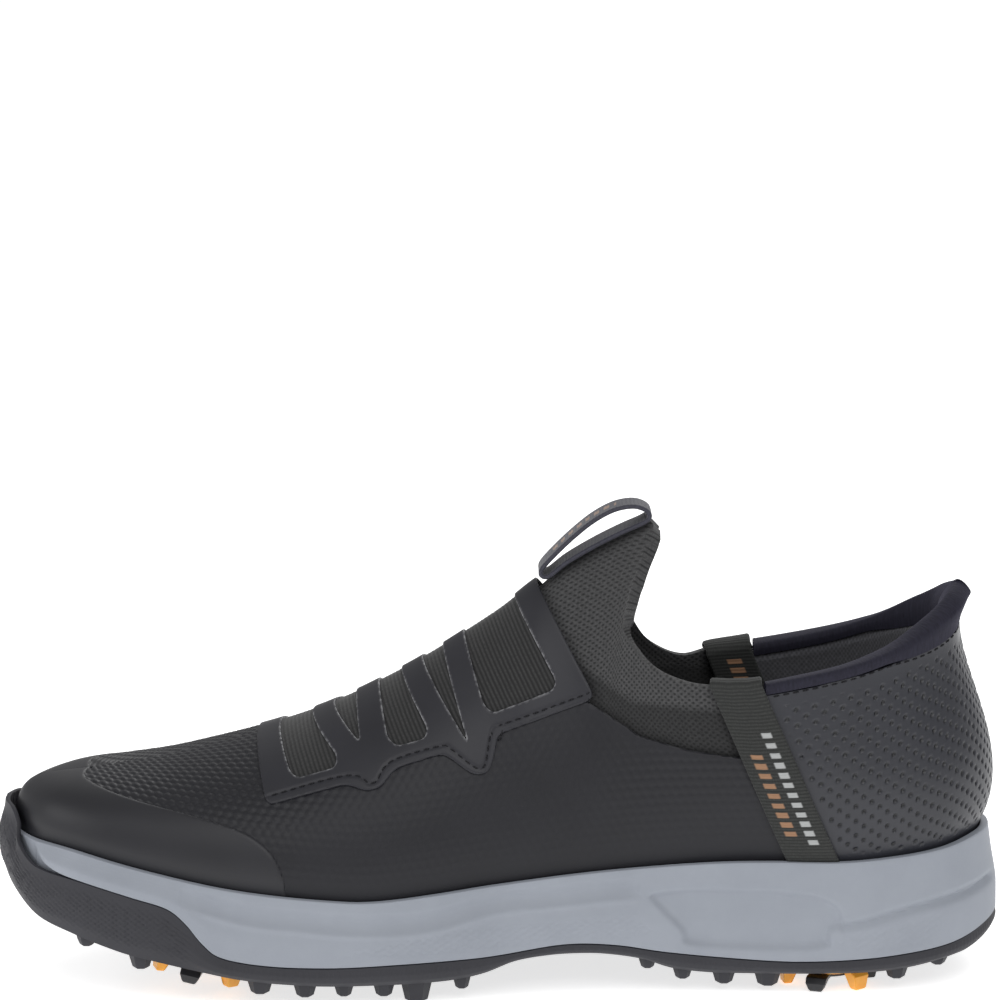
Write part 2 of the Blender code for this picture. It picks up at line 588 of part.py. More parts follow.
def outsole_profile(x):
    low, high = bottom_z(x), lip_z(x)
    lean = 2.0 * float(smooth_step((high - rim_z(x) + 2) / 6))
    tall = high - low
    inside = low + 0.6 * tall if tall > 8 else high - 0.4
    return [
        (2.2, low), (0.5, low + 0.25 * tall), (0.0, low + 0.55 * tall), (0.3 + lean, high),
        (max(1.6 + lean, 1.8), high), (LIP, inside), (LIP, plate_top(x)),
    ]


def midsole_profile(x):
    clear = GAP + 3.6 * math.exp(-(((x + 141) / 9) ** 2))
    floor, step, high = plate_top(x) + GAP, lip_z(x) + clear, rim_z(x)
    open_wall = float(smooth_step((high - step - 1.6) / 5))
    inner = LIP + GAP + 0.5 * math.exp(-(((x + 146) / 8) ** 2))
    step = min(step, high - 1.2)
    outer = inner * (1 - open_wall)
    rim = max(RIM_OUTER_INSET, outer)
    tall = high - step
    ledge = max(step, floor + 0.2)
    waist = 0.5 * (outer + rim) + 0.4 * open_wall
    return [
        (inner, floor), (inner, ledge), (outer, ledge + 0.15),
        (outer + 0.1 * open_wall, step + 0.35 * tall), (waist, step + 0.7 * tall),
        (rim, high), (RIM_INNER_INSET, high), (RIM_INNER_INSET + 0.05, deck_z(x)),
    ]


def sheet_profile(inset, low, high, cup=0.0):
    """A sheet on the deck, low to high above it, its edge turned up by cup."""
    def profile(x):
        z = deck_z(x)
        edge = inset + 3.6 * float(smooth_step((x - 92) / 24))
        flat = edge + SHEET_RUN_IN
        return [(flat, z + low), (edge, z + low + cup), (edge, z + high + cup), (flat, z + high)]
    return profile


outsole = sole_loft("outsole", outsole_profile, "rubber", 36)
midsole = sole_loft("midsole", midsole_profile, "midsole", 36)
sole_loft("strobel_board", sheet_profile(10.6, 0.3, 1.5), "board", 20)
sole_loft("insole_foam", sheet_profile(11.4, 1.8, 5.4, 1.6), "foam", 20)
sole_loft("insole_cover", sheet_profile(11.4, 5.9, 6.9, 1.6), "lining", 20)


def stud(build, x, y, height, width):
    """A tapered stud, its root sunk 1 mm into the plate."""
    root = bottom_z(x)
    made = bmesh.ops.create_cone(build, cap_ends=True, segments=6, radius1=width * 0.40 * MM,
                                 radius2=width * 0.62 * MM, depth=(height + 1) * MM)
    bmesh.ops.translate(build, verts=made["verts"], vec=Vector((x, y, root + (1 - height) / 2)) * MM)


build = bmesh.new()
for side, hand in (("medial", -1), ("lateral", 1)):
    dense, out = side_points(side, np.linspace(0, 1, 801))
    for x, height, width in EDGE_STUDS:
        i = int(np.argmin(np.abs(dense[:, 0] - x)))
        spot = dense[i] - out[i] * (width * 0.62 + 2.4)
        near = [math.hypot(spot[0] - cx, spot[1] - cy) for _, cx, cy, _ in CLEATS]
        if x == GROUND_STUD_X:
            height = float(bottom_z(spot[0]))
        if min(near) > CLEAT_RADIUS + 6.5:
            stud(build, spot[0], spot[1], height, width)
for x, y, height, width in INNER_STUDS:
    stud(build, x, y, height, width)
stud_mesh = bpy.data.meshes.new("studs")
build.to_mesh(stud_mesh)
build.free()
studs = put("studs", stud_mesh, None, cutters)
boolean(outsole, studs, "UNION")


def cleat_frame(x, y):
    """Where a cleat sits: its Z axis is square to the sole's bottom there."""
    slope = (bottom_z(x + 8) - bottom_z(x - 8)) / 16
    axis = Vector((-slope, 0, 1)).normalized()
    sideways = Vector((0, 1, 0))
    forward = sideways.cross(axis)
    turn = Matrix((forward, sideways, axis)).transposed().to_4x4()
    return Matrix.Translation(Vector((x, y, bottom_z(x))) * MM) @ turn


def leg(build, angle, root_radius, root_low, root_high, drop):
    """One leg: out from the hub, then down to a narrow tip on the leg circle."""
    profile = [
        (root_radius, root_high), (CLEAT_RADIUS - 1.2, root_high),
        (CLEAT_RADIUS + 1.3, root_low - 0.6), (CLEAT_RADIUS + 1.0, drop),
        (CLEAT_RADIUS - 1.6, drop), (CLEAT_RADIUS - 3.4, root_low), (root_radius, root_low),
    ]
    widths = [2.9, 3.2, 3.0, 2.1, 2.1, 2.9, 2.9]
    turn = Matrix.Rotation(math.radians(angle), 4, "Z")
    rims = []
    for hand in (-1, 1):
        ring = [turn @ Vector((r * MM, hand * w * MM, z * MM)) for (r, z), w in zip(profile, widths)]
        rims.append([build.verts.new(point) for point in ring])
    n = len(profile)
    build.faces.new(rims[0])
    build.faces.new(rims[1][::-1])
    for i in range(n):
        j = (i + 1) % n
        build.faces.new((rims[0][j], rims[0][i], rims[1][i], rims[1][j]))


def hub(build, radius, low, high):
    made = bmesh.ops.create_cone(build, cap_ends=True, segments=ROUND, radius1=radius * MM,
                                 radius2=radius * MM, depth=(high - low) * MM)
    bmesh.ops.translate(build, verts=made["verts"], vec=(0, 0, (low + high) / 2 * MM))


def piece(name, make, frame, look, collection):
    build = bmesh.new()
    make(build)
    bmesh.ops.recalc_face_normals(build, faces=build.faces)
    mesh = bpy.data.meshes.new(name)
    build.to_mesh(mesh)
    build.free()
    obj = put(name, mesh, look, collection)
    obj.matrix_world = frame
    return obj


def drum(name, radius, low, high, frame, look=None, collection=cutters):
    return piece(name, lambda build: hub(build, radius, low, high), frame, look, collection)


def add_legs(obj, name, first_angle, root_radius, root_low, root_high, drop, frame):
    for i in range(3):
        angle = first_angle + 120 * i
        made = piece(f"{name}_{i}", lambda build: leg(build, angle, root_radius, root_low, root_high, drop),
                     frame, None, cutters)
        boolean(obj, made, "UNION")


# Each cleat screws into a nylon receptacle moulded into the sole. Heights are from the sole's bottom.
DISC_TOP, DISC_LOW = -0.3, -3.0
CLAW_TOP, CLAW_LOW, CLAW_RING_RADIUS = -0.4, -1.4, 11.0
BORE_TOP = 4.8
for name, x, y, turn in CLEATS:
    frame = cleat_frame(x, y)
    hole = drum(f"socket_hole_{name}", SOCKET_RADIUS + GAP, -8, SOCKET_HEIGHT + GAP, frame)
    boolean(outsole, hole, "DIFFERENCE")
    boolean(midsole, hole, "DIFFERENCE")
    socket = drum(f"receptacle_{name}", SOCKET_RADIUS, 0.1, SOCKET_HEIGHT, frame, "socket", parts)
    boolean(socket, drum(f"socket_bore_{name}", STEM_RADIUS + GAP, -2, BORE_TOP, frame), "DIFFERENCE")
    black = drum(f"cleat_base_{name}", DISC_RADIUS, DISC_LOW, DISC_TOP, frame, "socket", parts)
    boolean(black, drum(f"cleat_stem_{name}", STEM_RADIUS, -1.5, BORE_TOP - GAP, frame), "UNION")
    add_legs(black, f"black_leg_{name}", turn, 6.0, DISC_LOW, -1.7, 0.2 - CLEAT_HEIGHT, frame)
    orange = drum(f"cleat_claw_{name}", CLAW_RING_RADIUS, CLAW_LOW, CLAW_TOP, frame, "claw", parts)
    add_legs(orange, f"orange_leg_{name}", turn + 60, 9.6, CLAW_LOW, CLAW_TOP, -CLEAT_HEIGHT, frame)
    boolean(orange, drum(f"claw_hole_{name}", DISC_RADIUS + GAP, -9, 2, frame), "DIFFERENCE")
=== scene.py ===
"""Slip-on golf shoe for the right foot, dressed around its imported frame. The toe points to -X and
the medial side to -Y. Shapes are worked out in millimetres and become metres as a mesh is made."""
import math

import bmesh
import bpy
import numpy as np
from mathutils import Matrix, Vector


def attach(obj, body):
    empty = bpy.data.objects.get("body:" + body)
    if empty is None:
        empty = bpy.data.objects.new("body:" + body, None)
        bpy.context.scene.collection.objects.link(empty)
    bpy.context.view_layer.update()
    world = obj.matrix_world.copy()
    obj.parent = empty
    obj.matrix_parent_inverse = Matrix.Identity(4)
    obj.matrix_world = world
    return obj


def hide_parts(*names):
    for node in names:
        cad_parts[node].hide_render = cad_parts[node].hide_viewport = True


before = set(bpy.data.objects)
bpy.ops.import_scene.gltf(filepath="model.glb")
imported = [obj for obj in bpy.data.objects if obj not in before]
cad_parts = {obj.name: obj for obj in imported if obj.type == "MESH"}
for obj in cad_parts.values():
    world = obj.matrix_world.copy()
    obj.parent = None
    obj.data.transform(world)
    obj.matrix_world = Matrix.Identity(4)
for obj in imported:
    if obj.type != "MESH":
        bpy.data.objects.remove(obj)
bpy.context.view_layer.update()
MM = 0.001
SHOE = "shoe"  # the body that everything but the cleats rides on

# Camera: on the shoe's medial side, a little above it, with a long lens as for a catalogue.
scene = bpy.context.scene
lens = bpy.data.cameras.new("camera")
lens.sensor_width = 36
lens.lens = 147.43
camera = bpy.data.objects.new("camera", lens)
camera.location = (0, -1.2, 0.36)
camera.rotation_euler = (math.radians(90 - 10.294), 0, 0)
scene.collection.objects.link(camera)
scene.camera = camera

# The last: the foot-shaped form that the upper is pulled over. Its plan is the sole's outline, and
# every layer of the upper is a sheet laid on its face, some way inside or outside it.
MEDIAL_OUTLINE = [
    (-150, -7), (-147.3, -21), (-138, -34), (-122, -43.5), (-102, -49), (-80, -52), (-58, -52.5),
    (-30, -49.5), (0, -43), (30, -38.5), (60, -37), (90, -37.5), (115, -36), (134, -29.5), (146, -16),
]
LATERAL_OUTLINE = [
    (150, 0), (146, 16), (134, 30), (114, 38.5), (88, 41.5), (58, 43), (28, 45.5), (-4, 49.5),
    (-34, 52.5), (-64, 52), (-90, 47.5), (-112, 39.5), (-130, 28), (-143, 12),
]
MIDSOLE_RIM = [
    (-150, 46.5), (-143, 46), (-127, 44.6), (-102, 39.6), (-78, 35.2), (-49, 31.9), (-36, 31.3),
    (-18, 32.6), (0, 34.5), (30, 37.3), (60, 39.4), (80, 40), (100, 39.8), (117, 40.9), (132, 42.4),
    (144, 44.1), (150, 44.4),
]
# The upper's top edge: (x of the station on the outline, x, |y|, z), over the ridge, down the
# tongue's rear edge and round the collar to the heel's peak
TOP_EDGE = [
    (-150, -121, 0, 61.6), (-140, -117, 0, 62.6), (-120, -109, 0, 63.7), (-96, -92, 0, 67.1),
    (-60, -58, 0, 76.9), (-30, -29, 0, 90.8), (-4, -2, 0, 108.0), (9, 12, 0, 118.7),
    (20, 28, 0, 128.3), (27, 43.5, 0, 136.0), (28.6, 44.6, 8, 134.5), (30.6, 42.0, 14, 127.5),
    (33, 38.2, 19, 119.0), (37, 35.4, 23, 110.5), (45, 39.0, 26, 102.5), (54, 45.5, 28.5, 96.6),
    (64, 55.0, 30.5, 93.2), (72, 64.0, 31.5, 92.4), (81, 75.0, 32, 92.8), (92, 88.0, 31.5, 95.0),
    (103, 100.5, 30.5, 97.6), (113, 110.5, 28.5, 100.4), (124, 120.0, 25, 104.0),
    (135, 129.5, 19, 109.6), (144, 137.0, 11, 114.2), (150, 141.2, 0, 116.6),
]
LATERAL_DIP = 4.0  # the ankle edge is this much lower on the lateral side
UPPER_INSET = 5.6  # the upper's outer face inside the sole's outline
SKIRT = 5.3  # how far the upper runs down inside the midsole's rim
SEAM_REACH = 7.0  # the ridge is rounded over this far to each side
THROAT_EASE = 30.0  # how much the face is evened out below the tongue, in mm squared
GRID = 0.5  # spacing of the points that carry embossing


def bend(four, s):
    """Catmull-Rom between the middle two of four points."""
    a, b, c, d = four
    return 0.5 * (2 * b + (c - a) * s + (2 * a - 5 * b + 4 * c - d) * s**2 + (3 * b - a - 3 * c + d) * s**3)


def open_curve(points, steps=12):
    points = np.array(points, float)
    points = np.vstack([2 * points[0] - points[1], points, 2 * points[-1] - points[-2]])
    line = []
    for i in range(1, len(points) - 2):
        line += [bend(points[i - 1:i + 3], s) for s in np.linspace(0, 1, steps, endpoint=False)]
    return np.array(line + [points[-2]])


def closed_curve(points, steps=24):
    points = np.array(points, float)
    line = []
    for i in range(len(points)):
        four = points[[(i + k - 1) % len(points) for k in range(4)]]
        line += [bend(four, s) for s in np.linspace(0, 1, steps, endpoint=False)]
    return np.array(line)


def heights(knots):
    line = open_curve(knots)
    return lambda x: np.interp(x, line[:, 0], line[:, 1])


def smooth_step(value):
    value = np.clip(value, 0, 1)
    return value * value * (3 - 2 * value)


OUTLINE = closed_curve(MEDIAL_OUTLINE + LATERAL_OUTLINE)
HEEL_AT = len(MEDIAL_OUTLINE) * 24
SIDES = {
    "medial": OUTLINE[:HEEL_AT + 1],
    "lateral": np.vstack([OUTLINE[HEEL_AT:], OUTLINE[:1]])[::-1],
}
rim_z = heights(MIDSOLE_RIM)


def side_points(side, shares):
    """Outline points at these shares of a side, and their outward directions."""
    line = SIDES[side]
    run = np.r_[0, np.cumsum(np.linalg.norm(np.diff(line, axis=0), axis=1))]
    at = shares * run[-1]
    spots = np.stack([np.interp(at, run, line[:, k]) for k in (0, 1)], axis=1)
    step = run[-1] / 400
    ahead = np.stack([np.interp(np.minimum(at + step, run[-1]), run, line[:, k]) for k in (0, 1)], axis=1)
    behind = np.stack([np.interp(np.maximum(at - step, 0), run, line[:, k]) for k in (0, 1)], axis=1)
    along = ahead - behind
    if shares[0] == 0:
        along[0] = (0, -1) if side == "medial" else (0, 1)
    if shares[-1] == 1:
        along[-1] = (0, 1) if side == "medial" else (0, -1)
    along /= np.linalg.norm(along, axis=1)[:, None]
    turn = 1 if side == "medial" else -1
    return spots, np.stack([along[:, 1], -along[:, 0]], axis=1) * turn


def last_columns(side, shares, rows):
    """Columns up the last's face on one side, each a cubic curve from the rim to the top edge."""
    hand = -1.0 if side == "medial" else 1.0
    spots, out = side_points(side, shares)
    foot = np.c_[spots - out * UPPER_INSET, rim_z(spots[:, 0]) + 0.3]
    edge = np.array(TOP_EDGE, float)
    if side == "lateral":
        edge[:, 3] -= LATERAL_DIP * np.exp(-((edge[:, 1] - 52) / 11.0) ** 2) * (edge[:, 2] > 20)
    dense = np.linspace(0, 1, 1201)
    middle_x = (side_points("medial", dense)[0][:, 0] + side_points("lateral", dense)[0][:, 0]) / 2
    k = np.interp(edge[:, 0], middle_x, dense)
    k[0], k[-1] = 0, 1
    line = open_curve(np.c_[k * 400, edge[:, 1:]], 16)
    top = np.stack([np.interp(shares, line[:, 0] / 400, line[:, c]) for c in (1, 2, 3)], axis=1)
    top[:, 1] *= hand
    top[:, 1] += np.interp(top[:, 0], [-125, -60], [-6, 0])
    rise = (top[:, 2] - foot[:, 2])[:, None]
    plan = foot[:, :2] - top[:, :2]
    width = np.linalg.norm(plan, axis=1)

    def along(places, values):
        return np.interp(shares, places, values)[:, None]

    up = along([0, 0.08, 0.2, 0.3, k[6], k[10], k[16], k[20], k[22], k[24], 1],
               [0.95, 0.88, 0.68, 0.56, 0.42, 0.4, 0.38, 0.38, 0.37, 0.345, 0.345])
    flare = along([0, 0.08, 0.2, 0.3, k[6], k[10], k[16], k[20], k[22], k[24], 1],
                  [0.0, 0.5, 2.0, 3.0, 3.0, 3.0, 5.0, 7.0, 9.0, 12.0, 15.0])
    first = foot + np.c_[out * flare, up * rise]
    crown = along([0, 0.08, 0.2, 0.3, k[6], k[9]], [0.78, 0.72, 0.6, 0.52, 0.4, 0.34])
    mix = along([0, 0.1, 0.18], [0, 0.35, 1])
    square = np.c_[np.zeros(len(width)), hand * crown[:, 0] * width]
    sink = along([0, 0.1, 0.3, k[8], k[9]], [-1.5, -1.0, -1.0, -3.0, -6.0])
    ahead = along([k[6], k[8], k[9]], [0, -6.0, -18.0])
    over_ridge = np.c_[plan * crown * (1 - mix) + square * mix + ahead * (1, 0), sink]
    lean = along([k[13], k[16], k[20], k[22], k[24], 1], [1.5, 2.5, 1.5, -1.0, -9.0, -14.0])
    drop = along([k[20], 1], [0.33, 0.215])
    on_tongue = np.tile([-14.0, hand * 6.0, -14.0], (len(width), 1))
    tongue = np.exp(-((shares - k[10]) / (k[13] - k[11]) / 1.4) ** 2)[:, None]
    at_collar = np.c_[out * lean, -drop * rise] * (1 - tongue) + on_tongue * tongue
    open_top = along([0, k[7], k[9], k[10], k[12]], [0, 0, 0.4, 0.8, 1])
    second = top + over_ridge * (1 - open_top) + at_collar * open_top
    v = np.linspace(0, 1, rows + 1)[None, :, None]
    w = 1 - v
    return w**3 * foot[:, None] + 3 * w**2 * v * first[:, None] + 3 * w * v**2 * second[:, None] + v**3 * top[:, None]


# What each point of a sheet carries: place 0-2, outward normal 3-5, then measures in mm: along the
# outline, up from the rim, down from the top edge, in from the cut, and how open the top edge is
RUN, RISE, FALL, EDGE, OPEN = 6, 7, 8, 9, 10
SIDE_LENGTH = float(np.linalg.norm(np.diff(SIDES["medial"], axis=0), axis=1).sum())


def lasted(start, end, step=GRID, rows=None):
    """The last's face between two shares of its length, both sides, as (points, quads, odd faces)."""
    shares = np.linspace(start, end, int((end - start) * SIDE_LENGTH / step) + 1)
    rows = rows or int(72 / step)
    grids = [last_columns(side, shares, rows) for side in ("medial", "lateral")]
    for grid in grids:
        at_throat = smooth_step((grid[:, 0, 0] - 4) / 12) * smooth_step((76 - grid[:, 0, 0]) / 10)
        hold = np.sin(np.linspace(0, math.pi, rows + 1)) ** 0.6 * at_throat[1:-1, None]
        for _ in range(int(THROAT_EASE / step**2)):
            grid[1:-1] += ((grid[:-2] + grid[2:]) / 2 - grid[1:-1]) * 0.5 * hold[:, :, None]
    ridge = np.abs(grids[0][:, -1, 1] - grids[1][:, -1, 1]) < 0.02
    arch = np.concatenate([grids[0], grids[1][:, -2::-1]], axis=1)
    arch[ridge, rows] = (grids[0][ridge, -1] + grids[1][ridge, -1]) / 2
    reach = np.linalg.norm(np.diff(arch, axis=1), axis=2)
    from_ridge = np.abs(np.cumsum(np.c_[np.zeros(len(reach)), reach], axis=1) - np.sum(reach[:, :rows], axis=1)[:, None])
    fade = smooth_step((41 - arch[:, rows, 0]) / 16) * ridge
    soft = (np.exp(-(from_ridge / SEAM_REACH) ** 2) * fade[:, None])[:, 1:-1, None]
    for _ in range(90):
        middle = (arch[:, :-2] + arch[:, 2:]) / 4 + arch[:, 1:-1] / 2
        arch[:, 1:-1] += (middle - arch[:, 1:-1]) * soft
    grids = [np.where(ridge[:, None, None], arch[:, :rows + 1], grids[0]),
             np.where(ridge[:, None, None], arch[:, ::-1][:, :rows + 1], grids[1])]
    skirts = np.array([SKIRT, SKIRT * 0.5])[None, :, None] * np.array([0, 0, 1.0])
    grids = [np.concatenate([grid[:, :1] - skirts, grid], axis=1) for grid in grids]
    normals = []
    for hand, grid in zip((1, -1), grids):
        normal = np.cross(np.gradient(grid, axis=0), np.gradient(grid, axis=1)) * hand
        normals.append(normal / np.maximum(np.linalg.norm(normal, axis=2), 1e-9)[:, :, None])
    shared = np.zeros(grids[0].shape[:2], bool)
    shared[ridge, -1] = True
    shared[0] |= start == 0
    shared[-1] |= end == 1
    both = normals[0] + normals[1]
    both /= np.linalg.norm(both, axis=2)[:, :, None] + 1e-9
    middle = (grids[0] + grids[1]) / 2
    points, quads, base = [], [], 0
    for number in range(2):
        grid = np.where(shared[:, :, None], middle, grids[number])
        normal = np.where(shared[:, :, None], both, normals[number])
        rise = np.cumsum(np.r_["1", np.zeros((len(grid), 1)), np.linalg.norm(np.diff(grid, axis=1), axis=2)], axis=1)
        run = np.repeat(shares[:, None] * SIDE_LENGTH, grid.shape[1], axis=1)
        spare = np.zeros(rise.shape)
        opened = spare + np.clip(np.abs(grid[:, -1:, 1]) / 6, 0, 1) * ~ridge[:, None]
        measures = np.stack([run, rise - SKIRT, rise[:, -1:] - rise, spare, opened], axis=2)
        points.append(np.concatenate([grid, normal, measures], axis=2).reshape(-1, 11))
        index = base + np.arange(grid.shape[0] * grid.shape[1]).reshape(grid.shape[:2])
        corners = [index[:-1, :-1], index[1:, :-1], index[1:, 1:], index[:-1, 1:]]
        quads.append(np.stack(corners if number == 0 else corners[::-1], axis=2).reshape(-1, 4))
        base += grid.shape[0] * grid.shape[1]
    return np.concatenate(points), np.concatenate(quads), []


def distance_to(line, x, z):
    """How far side-view points are from an open line, in mm."""
    nearest = np.full(len(x), 1e9)
    for (x1, z1), (x2, z2) in zip(line[:-1], line[1:]):
        dx, dz = x2 - x1, z2 - z1
        s = np.clip(((x - x1) * dx + (z - z1) * dz) / max(dx * dx + dz * dz, 1e-9), 0, 1)
        nearest = np.minimum(nearest, np.hypot(x - x1 - s * dx, z - z1 - s * dz))
    return nearest


def within(outline, x, z):
    """Signed distance from a closed side-view outline, positive inside it."""
    closed = np.vstack([outline, outline[:1]])
    inside = np.zeros(len(x), bool)
    for (x1, z1), (x2, z2) in zip(closed[:-1], closed[1:]):
        if z1 != z2:
            inside ^= ((z1 > z) != (z2 > z)) & (x < (x2 - x1) * (z - z1) / (z2 - z1) + x1)
    return distance_to(closed, x, z) * np.where(inside, 1, -1)


def rounded(outline, radius, steps=5):
    """The outline with each corner eased over radius."""
    outline = np.array(outline, float)
    line = []
    for i, corner in enumerate(outline):
        arms = [outline[i - 1] - corner, outline[(i + 1) % len(outline)] - corner]
        ends = [corner + arm * min(radius / np.linalg.norm(arm), 0.45) for arm in arms]
        for s in np.linspace(0, 1, steps):
            line.append((1 - s) ** 2 * ends[0] + 2 * s * (1 - s) * corner + s**2 * ends[1])
    return np.array(line)


def trim(sheet, column, level=0.0):
    """The sheet where a measure is at least level, with new points along the cut."""
    points, quads, odd = sheet
    value = points[:, column] - level
    good = value >= 0
    hits = good[quads].sum(axis=1)
    crossing = [tuple(quad) for quad in quads[(hits > 0) & (hits < 4)]]
    crossing += [face for face in odd if good[list(face)].any()]
    new, cuts, kept_faces = [], {}, []
    for face in crossing:
        kept = []
        for a, b in zip(face, face[1:] + face[:1]):
            if good[a]:
                kept.append(a)
            if good[a] != good[b]:
                key = (min(a, b), max(a, b))
                if key not in cuts:
                    share = value[key[0]] / (value[key[0]] - value[key[1]])
                    cuts[key] = len(points) + len(new)
                    new.append(points[key[0]] * (1 - share) + points[key[1]] * share)
                kept.append(cuts[key])
        if len(kept) > 2:
            kept_faces.append(tuple(kept))
    return np.vstack([points, *[row[None] for row in new]]) if new else points, quads[hits == 4], kept_faces


def cut_out(sheet, outlines, holes=(), side=None):
    """A panel of the sheet: the part inside every outline and outside every hole. EDGE becomes its
    distance in from the cut."""
    points, quads, odd = sheet
    points = points.copy()
    x, z = points[:, 0], points[:, 2]
    edge = np.full(len(points), 1e9)
    for outline in outlines:
        edge = np.minimum(edge, within(np.array(outline, float), x, z))
    for hole in holes:
        edge = np.minimum(edge, -within(np.array(hole, float), x, z))
    if side:
        edge = np.where(points[:, 1] * side > 0, edge, -1.0)
    points[:, EDGE] = edge
    return weld(trim((points, quads, odd), EDGE))


def weld(sheet):
    """Drops unused points and joins those that share a place, as along the ridge."""
    points, quads, odd = sheet
    _, first, same = np.unique(np.round(points[:, :3], 3), axis=0, return_index=True, return_inverse=True)
    same = same.reshape(-1)
    quads = same[quads]
    whole = [len(set(quad)) == 4 for quad in quads.tolist()]
    slim = [tuple(dict.fromkeys(quad)) for quad, ok in zip(quads.tolist(), whole) if not ok]
    odd = slim + [tuple(dict.fromkeys(int(same[i]) for i in face)) for face in odd]
    odd = [face for face in odd if len(face) > 2]
    quads = quads[whole]
    used = np.zeros(len(first), bool)
    used[quads] = True
    for face in odd:
        used[list(face)] = True
    index = np.cumsum(used) - 1
    return points[first][used], index[quads], [tuple(int(index[i]) for i in face) for face in odd]


def rim_edges(quads, odd):
    """The sheet's open edges, each as its face runs along it."""
    pairs = np.concatenate([quads[:, [0, 1]], quads[:, [1, 2]], quads[:, [2, 3]], quads[:, [3, 0]]])
    more = [(a, b) for face in odd for a, b in zip(face, face[1:] + face[:1])]
    if more:
        pairs = np.vstack([pairs, np.array(more)])
    _, index, count = np.unique(np.sort(pairs, axis=1), axis=0, return_inverse=True, return_counts=True)
    return pairs[count[index.reshape(-1)] == 1]


def linear(code):
    """An sRGB hex colour as linear light."""
    parts = [int(code[i:i + 2], 16) / 255 for i in (1, 3, 5)]
    return (*[p / 12.92 if p <= 0.04045 else ((p + 0.055) / 1.055) ** 2.4 for p in parts], 1.0)


def add(tree, kind, inputs=None, **settings):
    """Adds a shader node with its settings. An input is a socket to link, or a value."""
    made = tree.nodes.new("ShaderNode" + kind)
    for name, value in settings.items():
        setattr(made, name, value)
    for key, value in (inputs or {}).items():
        if isinstance(value, bpy.types.NodeSocket):
            tree.links.new(value, made.inputs[key])
        else:
            made.inputs[key].default_value = value
    return made


def new_finish(name, **sockets):
    """A material, its node tree and its shader, with the shader's own values set."""
    material = bpy.data.materials.new(name)
    material.use_nodes = True
    shader = material.node_tree.nodes["Principled BSDF"]
    for socket, value in sockets.items():
        shader.inputs[socket.replace("_", " ")].default_value = value
    return material, material.node_tree, shader


def set_up(obj, finishes, body=SHOE, replaces=(), slot=None):
    for finish in finishes:
        obj.data.materials.append(finish)
    scene.collection.objects.link(obj)
    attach(obj, body)
    if replaces:
        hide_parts(*replaces)
    return obj


def mesh_piece(name, places, faces, finishes, marks=None, laid=None, sharp=40, **facts):
    """A piece from points in mm. marks are its faces' finishes by number, laid its flat coordinates
    in metres, one pair a point."""
    mesh = bpy.data.meshes.new(name)
    mesh.from_pydata((np.asarray(places) * MM).tolist(), [], [list(map(int, face)) for face in faces])
    if marks is not None:
        mesh.polygons.foreach_set("material_index", np.asarray(marks, np.int32))
    if laid is not None:
        corners = np.empty(len(mesh.loops), np.int32)
        mesh.loops.foreach_get("vertex_index", corners)
        flat = mesh.uv_layers.new(name="laid_flat")
        flat.data.foreach_set("uv", np.asarray(laid, np.float32)[corners].reshape(-1))
    mesh.shade_smooth()
    if sharp:
        mesh.set_sharp_from_angle(angle=math.radians(sharp))
    return set_up(bpy.data.objects.new(name + "_detail", mesh), finishes, **facts)


def layer(name, sheet, outer, inner, finishes, ease=0.35, backed=True, edge_band=None, **facts):
    """A panel of the upper: its outer face moved out by outer mm along the normals, its edge eased
    over ease mm, a wall down to inner, and its back face where it is backed."""
    points, quads, odd = sheet
    place, normal = points[:, :3], points[:, 3:6]
    near = np.clip(points[:, EDGE] / ease, 0, 1)
    round_off = ease * (1 - np.sqrt(np.maximum(1 - (1 - near) ** 2, 0)))
    top = place + normal * (outer - round_off)[:, None]
    low = place + normal * (inner if np.ndim(inner) else np.full(len(points), inner))[:, None]
    rim = rim_edges(quads, odd)
    n = len(points)
    faces = quads.tolist() + odd
    band = np.array([points[list(face), EDGE].max() <= (edge_band or 0) + 1e-6 for face in faces]) if edge_band else None
    marks = [1 if band is not None and band[i] else 0 for i in range(len(faces))]
    walls = np.stack([rim[:, 1], rim[:, 0], rim[:, 0] + n, rim[:, 1] + n], axis=1).tolist()
    faces += walls
    marks += [1 if edge_band else 0] * len(walls)
    if backed:
        faces += [[i + n for i in reversed(face)] for face in quads.tolist() + odd]
        marks += [0] * (len(quads) + len(odd))
        places = np.vstack([top, low])
        laid = np.vstack([points[:, [RUN, RISE]]] * 2) * MM
    else:
        kept = np.unique(rim)
        index = np.zeros(n, int)
        index[kept] = np.arange(len(kept)) + n
        faces = [[i if i < n else int(index[i - n]) for i in face] for face in faces]
        places = np.vstack([top, low[kept]])
        laid = np.vstack([points[:, [RUN, RISE]], points[kept][:, [RUN, RISE]]]) * MM
    return mesh_piece(name, places, faces, finishes, marks if edge_band else None, laid, **facts)


def share_at(x):
    """The share of a side's length at which the outline reaches x."""
    line = SIDES["medial"]
    run = np.r_[0, np.cumsum(np.linalg.norm(np.diff(line, axis=0), axis=1))]
    return float(np.interp(x, line[:, 0], run) / run[-1])


# Linings: a brushed polyester tricot, cut to the last and stuck to the layers outside it. It starts
# 3.4 mm under the upper's face and stands further in over the heel's foam.
UNDER = -1.9  # outer face of the middle layers
INNER = -3.4  # outer face of the linings
STRAP_TOP = (69.0, 92.5)
STRAP_SLOPE = (92.9 - 69.0) / (92.5 - 38.5)  # how far back the strap leans for each mm down
COLLAR_LOW_EDGE = [
    (78, 88.6), (90.7, 90.8), (103.3, 93.6), (112, 95.8), (120, 98.2), (128, 100.6), (134, 102.8),
    (165, 109),
]
PAD_SHAPE = [(81, 73.5), (81, 87.4), (90.7, 89.0), (103.3, 91.6), (116.5, 95.4), (125.4, 98.6), (125.4, 75)]
PILLOW_SHAPE = [(127, 60), (127, 82), (131.5, 98), (165, 98), (165, 60)]


